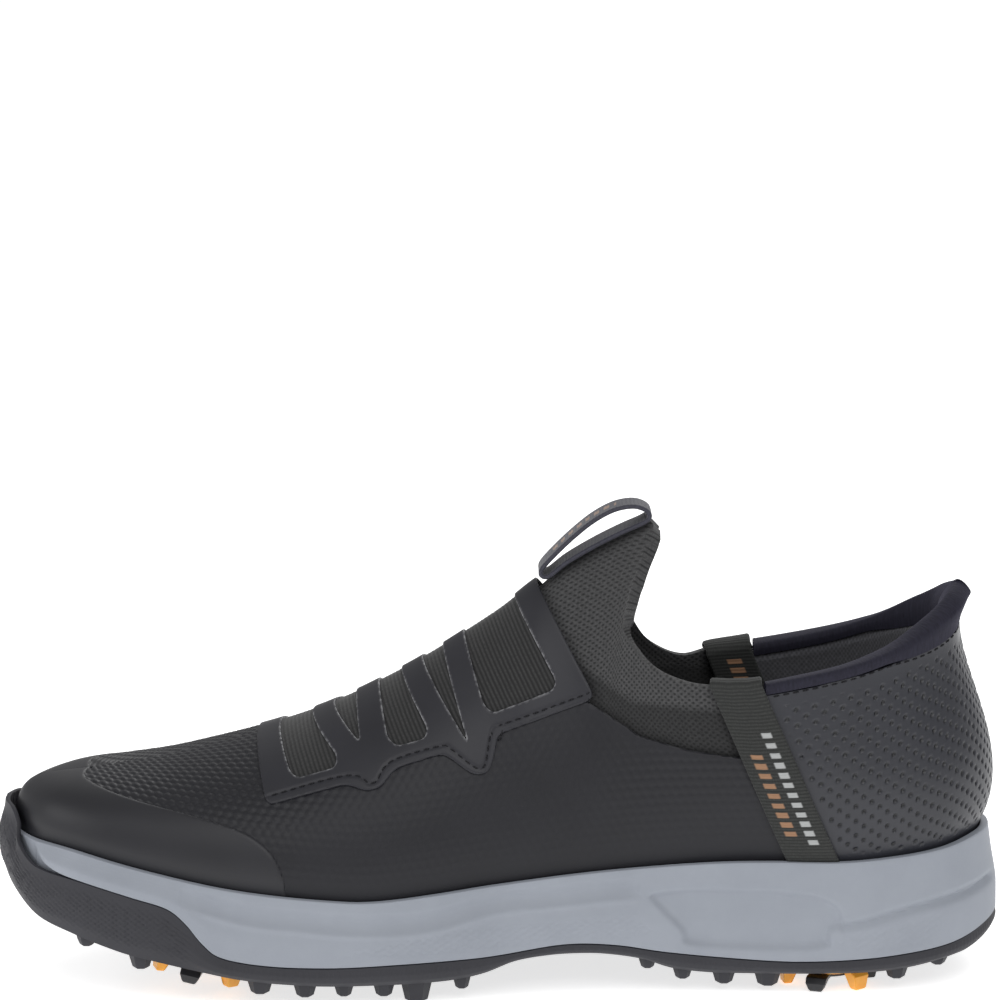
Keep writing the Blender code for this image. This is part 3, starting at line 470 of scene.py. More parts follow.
def strap_x(z, shift=0.0):
    return STRAP_TOP[0] + (STRAP_TOP[1] - z) * STRAP_SLOPE + shift


# Tricot's short nap scatters light evenly; fine wales show as faint lines 0.9 mm apart, twice
# their real spacing so that they can be seen.
lining_cloth, tree, shader = new_finish(
    "brushed_tricot", Roughness=0.95, IOR=1.5, Sheen_Weight=0.25, Sheen_Roughness=0.6)
laid = add(tree, "UVMap", uv_map="laid_flat")
WALE = 0.9 * MM
wale_map = add(tree, "Mapping", {"Vector": laid.outputs[0], "Scale": (1 / WALE, 0.8 / WALE, 1),
                                 "Rotation": (0, 0, math.radians(45))})
loops = add(tree, "TexVoronoi", {"Vector": wale_map.outputs[0], "Scale": 1.0, "Randomness": 0.15},
            voronoi_dimensions="2D")
nap = add(tree, "TexNoise", {"Vector": laid.outputs[0], "Scale": 900.0, "Detail": 4.0}, noise_dimensions="2D")
fuzz = add(tree, "Math", {0: loops.outputs["Distance"], 1: nap.outputs["Fac"]}, operation="MULTIPLY")
tone = add(tree, "Mix", {0: fuzz.outputs[0], 6: linear("#2c2c30"), 7: linear("#6a6a70")}, data_type="RGBA")
bump = add(tree, "Bump", {"Height": fuzz.outputs[0], "Strength": 0.6, "Distance": 0.3 * MM})
tree.links.new(tone.outputs[2], shader.inputs["Base Color"])
tree.links.new(bump.outputs[0], shader.inputs["Normal"])

toe_sheet = lasted(0, share_at(-50), 1.6)
sheet = cut_out(toe_sheet, [[(-165, 15), (-165, 95), (-62, 95), (-62, 15)]])
lining = layer("vamp_lining", sheet, INNER, INNER - 1.0, [lining_cloth], replaces=["vamp_lining"], slot="lining")

TUCK = 2.6  # how far the lining runs up inside the collar's binding
tucked_edge = [(x, z + TUCK) for x, z in COLLAR_LOW_EDGE]
LINING_SHAPE = [(strap_x(15, 0.6), 15), (strap_x(87.6, 0.6), 87.6 + TUCK)] + tucked_edge + [(165, 15)]
heel_sheet = lasted(share_at(64), 1, 1.0)
sheet = cut_out(heel_sheet, [LINING_SHAPE])
x, z = sheet[0][:, 0], sheet[0][:, 2]
outer = INNER - 2.8 * smooth_step((z - np.interp(x, [106, 122], [60, 38])) / 10.0)
swell = smooth_step(within(np.array(PAD_SHAPE, float), x, z) / 7.0)  # the collar pads push it inwards
swell = np.maximum(swell, smooth_step(within(np.array(PILLOW_SHAPE, float), x, z) / 9.0))
outer += 1.3 * smooth_step((z - np.interp(x, *np.array(COLLAR_LOW_EDGE).T) + 0.6) / 1.4)
lining = layer("heel_lining", sheet, outer, outer - 1.0 - 0.9 * swell, [lining_cloth],
               replaces=["heel_lining"], slot="lining")

# Knit bootie: a flat-knitted polyester sock from the instep to the heel strap, with the tongue knitted
# on and the ankle edge rolled over. It is lasted under the vamp and shows as tongue and collar.
KNIT_FACE = [(26.8, 85.8), (37, 80), (40.5, 77.3), (43.7, 76.3), (54.5, 73.5), (67.9, 71.7)]
KNIT_CHANGE = [(14, 106), (23.3, 96.6), (39, 86.9), (52, 85.9), (75, 84.5)]  # plain knit above, tuck below
STITCH_WIDE, STITCH_TALL = 1.5, 1.25  # knit loops, about twice their real size so that they show


def loops_of(a, b, wide, tall):
    """A knit face: rows of loops, each a pair of legs, staggered from row to row."""
    row = np.floor(b / tall)
    across = (a / wide + 0.5 * (row % 2)) % 1 - 0.5
    down = (b / tall) % 1
    leg = 0.5 - np.abs(np.abs(across) - 0.24) / 0.24
    return np.clip(leg, 0, 0.5) * 2 * np.sin(np.pi * down) ** 0.5


# Dull spun yarn: no gloss of its own, a little sheen from loose fibre, and dark gaps between loops.
# Above the change line the yarn is greyer; below it the tuck stitch is nearly black.
knit_yarn, tree, shader = new_finish(
    "flat_knit_polyester", Roughness=0.92, IOR=1.5, Sheen_Weight=0.12, Sheen_Roughness=0.5)
laid = add(tree, "UVMap", uv_map="laid_flat")
place = add(tree, "TexCoord")
loop_map = add(tree, "Mapping", {"Vector": laid.outputs[0], "Rotation": (0, 0, math.radians(45)),
                                 "Scale": (1000 / STITCH_WIDE, 1000 / STITCH_TALL, 1)})
loops = add(tree, "TexVoronoi", {"Vector": loop_map.outputs[0], "Scale": 1.0, "Randomness": 0.1},
            voronoi_dimensions="2D")
hole = add(tree, "MapRange", {"Value": loops.outputs["Distance"], "From Min": 0.12, "From Max": 0.42})
fibre = add(tree, "TexNoise", {"Vector": place.outputs["Object"], "Scale": 1600.0, "Detail": 3.0})
shade = add(tree, "Math", {0: hole.outputs[0], 1: fibre.outputs["Fac"]}, operation="MULTIPLY")
zone = add(tree, "Attribute", attribute_name="plain_knit")
light = add(tree, "Mix", {0: shade.outputs[0], 6: linear("#1c1c1d"), 7: linear("#565657")}, data_type="RGBA")
dark = add(tree, "Mix", {0: shade.outputs[0], 6: linear("#101011"), 7: linear("#353536")}, data_type="RGBA")
tone = add(tree, "Mix", {0: zone.outputs["Fac"], 6: dark.outputs[2], 7: light.outputs[2]}, data_type="RGBA")
bump = add(tree, "Bump", {"Height": shade.outputs[0], "Strength": 0.7, "Distance": 0.35 * MM})
tree.links.new(tone.outputs[2], shader.inputs["Base Color"])
tree.links.new(bump.outputs[0], shader.inputs["Normal"])

BOOTIE_SHAPE = [(-62, 15), (-62, 150), (60, 150), (strap_x(110, -0.6), 110), (strap_x(15, -0.6), 15)]
middle_sheet = lasted(share_at(-76), share_at(98), 0.68, 110)
sheet = cut_out(middle_sheet, [BOOTIE_SHAPE])
points = sheet[0]
x, z = points[:, 0], points[:, 2]
bare = smooth_step(within(np.array([(26, 86), (9, 120), (60, 150), (110, 110)] + KNIT_FACE[:0:-1], float), x, z) / 5)
open_edge = points[:, OPEN] > 0.5
rolled = np.exp(-(points[:, FALL] / 3.2) ** 2) * points[:, OPEN]
points[:, EDGE] = np.where(open_edge, np.minimum(points[:, EDGE], points[:, FALL]), points[:, EDGE])
tongue = 1.7 * smooth_step((x - 13) / 7) * np.exp(-(points[:, 1] / 9) ** 2) * (points[:, 2] > 110)
stitches = loops_of(points[:, RUN], points[:, RISE], STITCH_WIDE, STITCH_TALL)
bootie = layer("knit_bootie", sheet, UNDER + 0.7 * bare + tongue + 0.35 * rolled + 0.16 * (stitches - 0.5) * bare,
               UNDER - 1.15 - 0.9 * rolled, [knit_yarn], ease=0.9, replaces=["knit_bootie"], slot="knit")
plain = smooth_step(distance_to(KNIT_CHANGE, x, z) / 1.2)
plain = np.where(z > np.interp(x, *np.array(KNIT_CHANGE).T), 0.5 + 0.5 * plain, 0.5 - 0.5 * plain)
zone_marks = bootie.data.attributes.new("plain_knit", "FLOAT", "POINT")
zone_marks.data.foreach_set("value", np.r_[plain, plain].astype(np.float32))

# Heel stiffeners: a thermoplastic sheet heat-moulded round the toe and the heel between the layers.
# Pressed sheet, so faintly mottled and matt.
stiffener_sheet, tree, shader = new_finish("thermoplastic_sheet", Roughness=0.6, IOR=1.46)
place = add(tree, "TexCoord")
mottle = add(tree, "TexNoise", {"Vector": place.outputs["Object"], "Scale": 260.0, "Detail": 5.0})
tone = add(tree, "Mix", {0: mottle.outputs["Fac"], 6: linear("#8d8d8f"), 7: linear("#a9a9ab")}, data_type="RGBA")
bump = add(tree, "Bump", {"Height": mottle.outputs["Fac"], "Strength": 0.3, "Distance": 0.1 * MM})
tree.links.new(tone.outputs[2], shader.inputs["Base Color"])
tree.links.new(bump.outputs[0], shader.inputs["Normal"])


def dress(node, finish):
    """A carried-over node with its real finish."""
    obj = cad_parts[node]
    obj.data.materials.clear()
    obj.data.materials.append(finish)


for node in ("toe_puff", "heel_counter"):
    dress(node, stiffener_sheet)

# Collar foams: die-cut open-cell polyurethane, skived thin at the edges, one pad on each side of the
# ankle and a thicker pillow at the back that holds the heel.
open_foam, tree, shader = new_finish("open_cell_polyurethane", Roughness=0.95, IOR=1.5)
place = add(tree, "TexCoord")
cells = add(tree, "TexVoronoi", {"Vector": place.outputs["Object"], "Scale": 1250.0})  # 0.8 mm cells
tone = add(tree, "Mix", {0: cells.outputs["Distance"], 6: linear("#3a3a3d"), 7: linear("#606064")}, data_type="RGBA")
bump = add(tree, "Bump", {"Height": cells.outputs["Distance"], "Strength": 0.6, "Distance": 0.3 * MM})
tree.links.new(tone.outputs[2], shader.inputs["Base Color"])
tree.links.new(bump.outputs[0], shader.inputs["Normal"])


def foam_pad(name, outline, outer, thick, skive, side=None):
    sheet = cut_out(heel_sheet, [rounded(outline, 4)], side=side)
    crown = smooth_step(sheet[0][:, EDGE] / skive)
    pad = layer(name, sheet, outer - 0.15, outer - 0.5 - (thick - 0.7) * crown, [open_foam], ease=0.2,
                replaces=[name], slot="foam")


foam_pad("collar_pad_medial", PAD_SHAPE, UNDER, 2.9, 5.0, side=-1)
foam_pad("collar_pad_lateral", PAD_SHAPE, UNDER, 2.9, 5.0, side=1)
foam_pad("heel_pillow", PILLOW_SHAPE, INNER, 2.4, 6.0)

# Vamp: microfibre synthetic leather, embossed with a honeycomb that is crisp over the toes and fades
# down the quarters. It is lasted over the bootie and cemented into the midsole's rim.
VAMP_EDGE = [
    (-69.5, 95), (-66, 61), (-60, 62.3), (-47, 65.4), (-40, 64.5), (-36, 65.6), (-32, 70.3),
    (-18, 73.6), (-14.5, 73), (-7.5, 68.6), (-5.3, 69.5), (-3.6, 79.2), (0, 80.3), (24, 88),
]
CELL = 2.9  # honeycomb cell, side to side
SKIN = 1.1  # thickness of the upper's main layers


def honeycomb(a, b, pitch):
    """Raised cells in staggered rows: 1 on a cell, 0 in the groove round it."""
    tall = pitch * math.sqrt(3)
    nearest = np.full(len(a), 1e9)
    for shift in (0.0, 0.5):
        da = np.abs((a / pitch + shift + 0.5) % 1 - 0.5) * pitch
        db = np.abs((b / tall + shift + 0.5) % 1 - 0.5) * tall
        nearest = np.minimum(nearest, np.maximum(da, 0.5 * da + 0.866 * db))
    return smooth_step((pitch / 2 - nearest) / (0.34 * pitch))


# Polyurethane-coated microfibre: a satin near-black with a violet cast and a leather-like grain of
# 0.35 mm, slightly rougher where it is handled.
coated_microfibre, tree, shader = new_finish(
    "coated_microfibre", IOR=1.5, Specular_IOR_Level=0.32, Sheen_Weight=0.03, Sheen_Roughness=0.4)
place = add(tree, "TexCoord")
GRAIN = 0.35 * MM
grain = add(tree, "TexVoronoi", {"Vector": place.outputs["Object"], "Scale": 1 / GRAIN})
cloud = add(tree, "TexNoise", {"Vector": place.outputs["Object"], "Scale": 38.0, "Detail": 6.0, "Roughness": 0.6})
tone = add(tree, "Mix", {0: cloud.outputs["Fac"], 6: linear("#19191d"), 7: linear("#232328")}, data_type="RGBA")
worn = add(tree, "MapRange", {"Value": cloud.outputs["Fac"], "To Min": 0.44, "To Max": 0.56})
bump = add(tree, "Bump", {"Height": grain.outputs["Distance"], "Strength": 0.35, "Distance": 0.06 * MM})
tree.links.new(tone.outputs[2], shader.inputs["Base Color"])
tree.links.new(worn.outputs[0], shader.inputs["Roughness"])
tree.links.new(bump.outputs[0], shader.inputs["Normal"])

VAMP_SHAPE = [(-165, 15), (-165, 95)] + VAMP_EDGE + KNIT_FACE + [(strap_x(71.3, -0.3), 71.3), (strap_x(15, -0.3), 15)]
front_sheet = lasted(0, share_at(99), 0.6, 124)
sheet = cut_out(front_sheet, [VAMP_SHAPE])
points = sheet[0]
x, z = points[:, 0], points[:, 2]
crisp = 0.14 + 0.2 * smooth_step((-38 - x) / 30) * smooth_step((z - 46) / 12) + 0.05 * smooth_step((z - 52) / 20)
crisp *= smooth_step((points[:, EDGE] - 0.5) / 2) * smooth_step((points[:, RISE] - 2) / 6)
layer("vamp", sheet, -0.15 + crisp * honeycomb(x * 1.04, points[:, RISE], CELL), -SKIN, [coated_microfibre],
      backed=False, replaces=["vamp"], slot="embossed_synthetic")

# Toe overlay: a thin polyurethane film fused over the toe and along the ball, which hides the
# honeycomb and stops scuffs. Its edge sinks into the vamp.
TOE_OVERLAY_EDGE = [
    (-131, 75), (-130, 63), (-115, 60.1), (-103, 57.8), (-92, 56), (-73, 51.7), (-63.5, 43.3), (-60.6, 20),
]
# Fused film: the same near-black as the vamp but closer and more even, with a soft wide highlight.
fused_film, tree, shader = new_finish("fused_polyurethane_film", IOR=1.49, Specular_IOR_Level=0.45)
place = add(tree, "TexCoord")
speck = add(tree, "TexNoise", {"Vector": place.outputs["Object"], "Scale": 2600.0, "Detail": 2.0})
cloud = add(tree, "TexNoise", {"Vector": place.outputs["Object"], "Scale": 45.0, "Detail": 5.0})
tone = add(tree, "Mix", {0: cloud.outputs["Fac"], 6: linear("#1b1b1f"), 7: linear("#242429")}, data_type="RGBA")
worn = add(tree, "MapRange", {"Value": cloud.outputs["Fac"], "To Min": 0.42, "To Max": 0.52})
bump = add(tree, "Bump", {"Height": speck.outputs["Fac"], "Strength": 0.3, "Distance": 0.04 * MM})
tree.links.new(tone.outputs[2], shader.inputs["Base Color"])
tree.links.new(worn.outputs[0], shader.inputs["Roughness"])
tree.links.new(bump.outputs[0], shader.inputs["Normal"])

toe_sheet = lasted(0, share_at(-46), 0.8, 90)
sheet = cut_out(toe_sheet, [rounded([(-165, 15), (-165, 75)] + TOE_OVERLAY_EDGE, 8)])
low_taper = smooth_step((sheet[0][:, RISE] - 0.5) / 4)
layer("toe_overlay", sheet, 0.14 + 0.2 * low_taper, -0.2, [fused_film], ease=0.45,
      replaces=["toe_overlay"], slot="smooth_overlay")

# Elastic gore: a rib-knitted elastic under the saddle, stretched over the instep so that the shoe
# opens to the foot. It shows through the saddle's five windows on each side.
RIDGE_LEAN = math.radians(28)  # the ribs run square to the instep's slope
RIB = 1.25  # rib spacing
# Covered rubber yarn: dull black ribs that run down from the ridge, with a fine cross weave.
rib_elastic, tree, shader = new_finish(
    "rib_knit_elastic", Roughness=0.85, IOR=1.5, Sheen_Weight=0.15, Sheen_Roughness=0.5)
place = add(tree, "TexCoord")
tilt = add(tree, "Mapping", {"Vector": place.outputs["Object"], "Rotation": (0, RIDGE_LEAN, 0)})
weave = add(tree, "TexWave", {"Vector": tilt.outputs[0], "Scale": math.pi / (10 * RIB * MM), "Distortion": 0.5,
                              "Detail": 1.0}, bands_direction="X")
threads = add(tree, "TexNoise", {"Vector": place.outputs["Object"], "Scale": 1500.0, "Detail": 3.0})
height = add(tree, "Math", {0: weave.outputs["Fac"], 1: threads.outputs["Fac"]}, operation="MULTIPLY")
tone = add(tree, "Mix", {0: height.outputs[0], 6: linear("#0e0e0f"), 7: linear("#3e3e3e")}, data_type="RGBA")
bump = add(tree, "Bump", {"Height": height.outputs[0], "Strength": 0.6, "Distance": 0.2 * MM})
tree.links.new(tone.outputs[2], shader.inputs["Base Color"])
tree.links.new(bump.outputs[0], shader.inputs["Normal"])

instep_sheet = lasted(share_at(-82), share_at(40), 0.38, 190)
left_of_vamp = np.array(VAMP_EDGE, float)
run = np.gradient(left_of_vamp, axis=0)
run /= np.linalg.norm(run, axis=1)[:, None]
gore_edge = left_of_vamp + np.stack([-run[:, 1], run[:, 0]], axis=1) * 0.5
GORE_SHAPE = [tuple(point) for point in gore_edge] + [(24.6, 90), (8, 118.5), (2, 130)]
sheet = cut_out(instep_sheet, [GORE_SHAPE])
x, z = sheet[0][:, 0], sheet[0][:, 2]
along_ridge = x * math.cos(RIDGE_LEAN) + z * math.sin(RIDGE_LEAN)
ribs = np.abs(np.sin(np.pi * along_ridge / RIB)) ** 0.7
gore = layer("elastic_gore", sheet, -0.1 + 0.2 * ribs, -SKIN, [rib_elastic], backed=False,
             replaces=["elastic_gore"], slot="rib_elastic")

# Saddle: a die-cut sheet of thermoplastic polyurethane over the instep, with five windows a side.
# Its lower edge is sewn down 2 mm in, in a pressed groove; the cut edges of the windows show grey.
SADDLE_LOW = [
    (-68.2, 58), (-44.8, 63.7), (-39, 61.9), (-34.8, 63), (-30.8, 67.9),
    (-17.9, 71.7), (-15.3, 71.3), (-7.9, 66.2), (-3.8, 66.5), (-2.1, 69.7), (-0.6, 77.1), (2.1, 78.2),
    (25.6, 86.3), (27.7, 88.2),
]
SADDLE_SHAPE = [(-73, 96), (-72.9, 73)] + SADDLE_LOW + [(10.4, 118.9), (5, 128)]
WINDOWS = [
    [(-66.1, 95), (-66.1, 74.8), (-61.7, 65.9), (-59.3, 64.6), (-48.2, 67.5), (-48, 70.4),
     (-57.2, 78.5), (-57.2, 95)],
    [(-50.3, 100), (-50.3, 80.9), (-41.2, 73.7), (-43.1, 84.6), (-43.1, 100)],
    [(-36.2, 108), (-36.2, 87.8), (-33, 75.3), (-30.3, 73.4), (-22.1, 75.6), (-21.2, 78.1),
     (-30.3, 92), (-30.3, 108)],
    [(-24, 115), (-24, 95.7), (-9.4, 74.8), (-17.4, 99.5), (-17.4, 115)],
    [(-10.8, 130), (-10.8, 102.9), (-4.7, 84.9), (-2.1, 82.8), (15.6, 89.4), (16.5, 91.9),
     (3, 115.6), (3, 130)],
]
SADDLE_OUT = 0.75  # how far the saddle's face stands off the upper's
GROOVE_IN = 2.0  # the sewn groove, in from the lower edge

# Die-cut film: even, slightly lighter and glossier than the vamp, with a fine matt tooth. Where it is
# cut, the sheet's undyed core shows as a thin broken grey line.
cut_film, tree, shader = new_finish("die_cut_polyurethane", IOR=1.49, Specular_IOR_Level=0.4)
place = add(tree, "TexCoord")
tooth = add(tree, "TexNoise", {"Vector": place.outputs["Object"], "Scale": 2200.0, "Detail": 2.0})
cloud = add(tree, "TexNoise", {"Vector": place.outputs["Object"], "Scale": 60.0, "Detail": 4.0})
crumbs = add(tree, "TexNoise", {"Vector": place.outputs["Object"], "Scale": 700.0, "Detail": 3.0})
broken = add(tree, "MapRange", {"Value": crumbs.outputs["Fac"], "From Min": 0.42, "From Max": 0.62, "To Min": 0.12})
cut = add(tree, "Attribute", attribute_name="cut_line")
core = add(tree, "Math", {0: cut.outputs["Fac"], 1: broken.outputs[0]}, operation="MULTIPLY")
face = add(tree, "Mix", {0: cloud.outputs["Fac"], 6: linear("#1f1f24"), 7: linear("#29292f")}, data_type="RGBA")
tone = add(tree, "Mix", {0: core.outputs[0], 6: face.outputs[2], 7: linear("#8f8f92")}, data_type="RGBA")
worn = add(tree, "MapRange", {"Value": cloud.outputs["Fac"], "To Min": 0.42, "To Max": 0.54})
bump = add(tree, "Bump", {"Height": tooth.outputs["Fac"], "Strength": 0.35, "Distance": 0.04 * MM})
tree.links.new(tone.outputs[2], shader.inputs["Base Color"])
tree.links.new(worn.outputs[0], shader.inputs["Roughness"])
tree.links.new(bump.outputs[0], shader.inputs["Normal"])

windows = [rounded(window, 1.6) for window in WINDOWS]
sheet = cut_out(instep_sheet, [rounded(SADDLE_SHAPE, 2.6)], windows)
points = sheet[0]
x, z = points[:, 0], points[:, 2]
groove = np.exp(-((distance_to(open_curve(SADDLE_LOW, 4), x, z) - GROOVE_IN) / 0.4) ** 2)
saddle = layer("saddle_overlay", sheet, SADDLE_OUT - 0.3 * groove, 0.05, [cut_film], ease=0.25,
               replaces=["saddle_overlay"], slot="smooth_overlay")
near_cut = np.zeros(len(points))
for window in windows:
    near_cut = np.maximum(near_cut, 1 - np.clip(distance_to(np.vstack([window, window[:1]]), x, z) / 0.45, 0, 1))
cut_marks = saddle.data.attributes.new("cut_line", "FLOAT", "POINT")
cut_marks.data.foreach_set("value", np.r_[near_cut, near_cut * 0].astype(np.float32))


class Grid:
    """One side of the last as a grid, to find the face under a side-view point."""
    def __init__(self, side):
        self.hand = -1 if side == "medial" else 1
        points = lasted(0, 1, 1.0)[0]
        half = len(points) // 2
        self.points = points[:half] if side == "medial" else points[half:]

    def under(self, line, lift=0.0):
        """Places and outward normals on the face under a line of (x, z)."""
        places, normals = [], []
        for x, z in line:
            near = self.points[np.argmin((self.points[:, 0] - x) ** 2 + (self.points[:, 2] - z) ** 2)]
            place, normal = near[:3].copy(), near[3:6]
            move = np.array([x - place[0], 0.0, z - place[2]])
            if abs(normal[1]) > 0.3:
                move[1] = -(normal[0] * move[0] + normal[2] * move[2]) / normal[1]
            places.append(place + move + normal * lift)
            normals.append(normal)
        return np.array(places), np.array(normals)


face_of = {side: Grid(side) for side in SIDES}


def paced(line, spacing=None, count=None):
    """Points evenly along a line, at a spacing or of a count."""
    line = np.array(line, float)
    run = np.r_[0, np.cumsum(np.linalg.norm(np.diff(line, axis=0), axis=1))]
    at = np.linspace(0, run[-1], count or max(int(run[-1] / spacing), 2) + 1)
    return np.stack([np.interp(at, run, line[:, k]) for k in range(line.shape[1])], axis=1)


def sew(name, seams, finish, length=2.4, gap=0.7, radius=0.28, **facts):
    """A row of thread stitches along each seam, a seam being its places and outward normals. Each
    stitch is a short tube that dives at both ends."""
    rings = [(0.0, 0.45, -0.9), (0.12, 0.9, -0.2), (0.35, 1.0, 0.25), (0.65, 1.0, 0.25), (0.88, 0.9, -0.2), (1.0, 0.45, -0.9)]
    places, faces, laid = [], [], []
    for seam, normals in seams:
        run = np.r_[0, np.cumsum(np.linalg.norm(np.diff(seam, axis=0), axis=1))]
        start = gap / 2
        while start + length < run[-1]:
            base = len(places)
            for share, thick, lift in rings:
                at = start + share * length
                spot = np.array([np.interp(at, run, seam[:, k]) for k in range(3)])
                ahead = np.array([np.interp(at + 0.2, run, seam[:, k]) for k in range(3)]) \
                    - np.array([np.interp(at - 0.2, run, seam[:, k]) for k in range(3)])
                up = np.array([np.interp(at, run, normals[:, k]) for k in range(3)])
                up /= np.linalg.norm(up)
                across = np.cross(ahead, up)
                across /= np.linalg.norm(across) + 1e-9
                for turn in np.arange(6) * math.pi / 3:
                    out = across * math.cos(turn) + up * math.sin(turn)
                    places.append(spot + up * lift * radius + out * thick * radius)
                    laid.append((at, turn * radius))
            for i in range(len(rings) - 1):
                for a in range(6):
                    b = (a + 1) % 6
                    faces.append([base + i * 6 + b, base + i * 6 + a, base + i * 6 + 6 + a, base + i * 6 + 6 + b])
            faces.append([base + a for a in range(6)])
            faces.append([base + (len(rings) - 1) * 6 + a for a in range(5, -1, -1)])
            start += length + gap
    return mesh_piece(name, places, faces, [finish], laid=np.array(laid) * MM, sharp=None, **facts)


# Bonded polyester thread: twisted, so it glints in short diagonal dashes 0.6 mm apart.
bonded_thread, tree, shader = new_finish("bonded_polyester_thread", Roughness=0.68, IOR=1.5, Specular_IOR_Level=0.2)
laid = add(tree, "UVMap", uv_map="laid_flat")
twist = add(tree, "Mapping", {"Vector": laid.outputs[0], "Rotation": (0, 0, math.radians(35))})
ply = add(tree, "TexWave", {"Vector": twist.outputs[0], "Scale": 1 / (0.6 * MM) / (2 * math.pi) * 2})
tone = add(tree, "Mix", {0: ply.outputs["Fac"], 6: linear("#0c0c0e"), 7: linear("#26262a")}, data_type="RGBA")
bump = add(tree, "Bump", {"Height": ply.outputs["Fac"], "Strength": 0.5, "Distance": 0.08 * MM})
tree.links.new(tone.outputs[2], shader.inputs["Base Color"])
tree.links.new(bump.outputs[0], shader.inputs["Normal"])

inner_line = open_curve(SADDLE_LOW, 8)
run = np.gradient(inner_line, axis=0)
run /= np.linalg.norm(run, axis=1)[:, None]
inner_line = paced(inner_line + np.stack([-run[:, 1], run[:, 0]], axis=1) * GROOVE_IN, 0.5)[3:-3]
seams = [face_of[side].under(inner_line, SADDLE_OUT - 0.3) for side in SIDES]
sew("saddle_stitching", seams, bonded_thread, length=2.2, gap=0.6)

# Heel quarter: the same coated microfibre moulded over the heel and pressed with staggered dimples.
# Its grain is closer and its black a little bluer, it shines more where it curves in, and painted shade darkens the
# inside of each dimple.
DIMPLE_ALONG, DIMPLE_ROW, DIMPLE = 4.8, 2.3, 0.62  # spacing along a row, between rows, and radius
DIMPLE_DEPTH = 0.55
pressed_microfibre, tree, shader = new_finish("pressed_microfibre", IOR=1.5, Specular_IOR_Level=0.5)
place = add(tree, "TexCoord")
grain = add(tree, "TexVoronoi", {"Vector": place.outputs["Object"], "Scale": 3300.0})
cloud = add(tree, "TexNoise", {"Vector": place.outputs["Object"], "Scale": 42.0, "Detail": 6.0})
face = add(tree, "Mix", {0: cloud.outputs["Fac"], 6: linear("#222329"), 7: linear("#2d2e35")}, data_type="RGBA")
# Painted shade: the colour goes to near black inside each dimple, as far as the dimple is pressed.
hollow = add(tree, "Attribute", attribute_name="dimple_painted_shade")
tone = add(tree, "Mix", {0: hollow.outputs["Fac"], 6: face.outputs[2], 7: linear("#101114")}, data_type="RGBA")
worn = add(tree, "MapRange", {"Value": cloud.outputs["Fac"], "To Min": 0.34, "To Max": 0.46})
bump = add(tree, "Bump", {"Height": grain.outputs["Distance"], "Strength": 0.3, "Distance": 0.05 * MM})
tree.links.new(tone.outputs[2], shader.inputs["Base Color"])
tree.links.new(worn.outputs[0], shader.inputs["Roughness"])
tree.links.new(bump.outputs[0], shader.inputs["Normal"])

HEM = 1.3  # how far the quarter runs up under the collar's binding
hem_edge = [(x, z + HEM) for x, z in COLLAR_LOW_EDGE]
QUARTER_SHAPE = [(strap_x(15, 0.3), 15), (strap_x(87.6, 0.3), 87.6 + HEM)] + hem_edge + [(165, 15)]
quarter_sheet = lasted(share_at(68), 1, 0.4, 165)
sheet = cut_out(quarter_sheet, [QUARTER_SHAPE])
points = sheet[0]


def dimples(a, b):
    nearest = np.full(len(a), 1e9)
    for shift in (0.0, 0.5):
        da = ((a / DIMPLE_ALONG + shift + 0.5) % 1 - 0.5) * DIMPLE_ALONG
        db = ((b / (2 * DIMPLE_ROW) + shift + 0.5) % 1 - 0.5) * 2 * DIMPLE_ROW
        nearest = np.minimum(nearest, np.hypot(da, db))
    return smooth_step((DIMPLE + 0.25 - nearest) / 0.55)


behind_strap = points[:, 0] - strap_x(points[:, 2], 9.4)
pressed = smooth_step((points[:, EDGE] - 2.4 - HEM) / 0.6) * smooth_step((points[:, RISE] - 1.5) / 1)
pressed *= smooth_step(behind_strap / 0.8)
depth = pressed * dimples(points[:, RUN], points[:, FALL])
quarter = layer("heel_quarter", sheet, -DIMPLE_DEPTH * depth, -SKIN, [pressed_microfibre], backed=False,
                replaces=["heel_quarter"], slot="punched_synthetic")
# The dimples' depth, kept for the painted shade in the colour.
shaded = np.r_[depth, np.zeros(len(quarter.data.vertices) - len(depth))]
quarter.data.attributes.new("dimple_painted_shade", "FLOAT", "POINT").data.foreach_set("value", shaded.astype(np.float32))

# Straps: grosgrain tape 15.4 mm wide, sewn into the midsole's rim, run up each side between the knit
# and the heel quarter, and folded over the collar's edge down the inside.
STRAP_WIDTH = 15.4
TAPE = 1.1  # thickness of the tapes
TAPE_RIB = 1.1  # weft rib spacing, about twice the real one so that it shows
STRAP_OUT, STRAP_IN = 1.6, -7.7  # the tape's faces outside and inside the collar
STRAP_FOOT, STRAP_TAIL = 37.5, 76.0  # heights of its two ends
FOLD_RISE = 1.3  # how far the fold stands above the collar's edge
BAR, BAR_GAP = 1.7, 1.5  # woven bars and the gaps between them

# Plain-woven polyester: near black, dull, with a raised weft rib. Two columns of woven-in bars, one
# pale grey and one bronze, have the soft stepped edges that a loom gives.
grosgrain, tree, shader = new_finish(
    "grosgrain_polyester", Roughness=0.8, IOR=1.5, Sheen_Weight=0.1, Sheen_Roughness=0.5)
laid = add(tree, "UVMap", uv_map="laid_flat")
split = add(tree, "SeparateXYZ", {0: laid.outputs[0]})
thread_map = add(tree, "Mapping", {"Vector": laid.outputs[0], "Scale": (2600, 950, 1)})
fibre = add(tree, "TexNoise", {"Vector": thread_map.outputs[0], "Scale": 1.0, "Detail": 3.0}, noise_dimensions="2D")
weft = add(tree, "Math", {0: split.outputs[1], 1: 2 * math.pi * 1000 / TAPE_RIB}, operation="MULTIPLY")
weft = add(tree, "Math", {0: weft.outputs[0]}, operation="SINE")
weft = add(tree, "MapRange", {"Value": weft.outputs[0], "From Min": -1.0, "To Min": 0.25})
yarn = add(tree, "Math", {0: weft.outputs[0], 1: fibre.outputs["Fac"]}, operation="MULTIPLY")
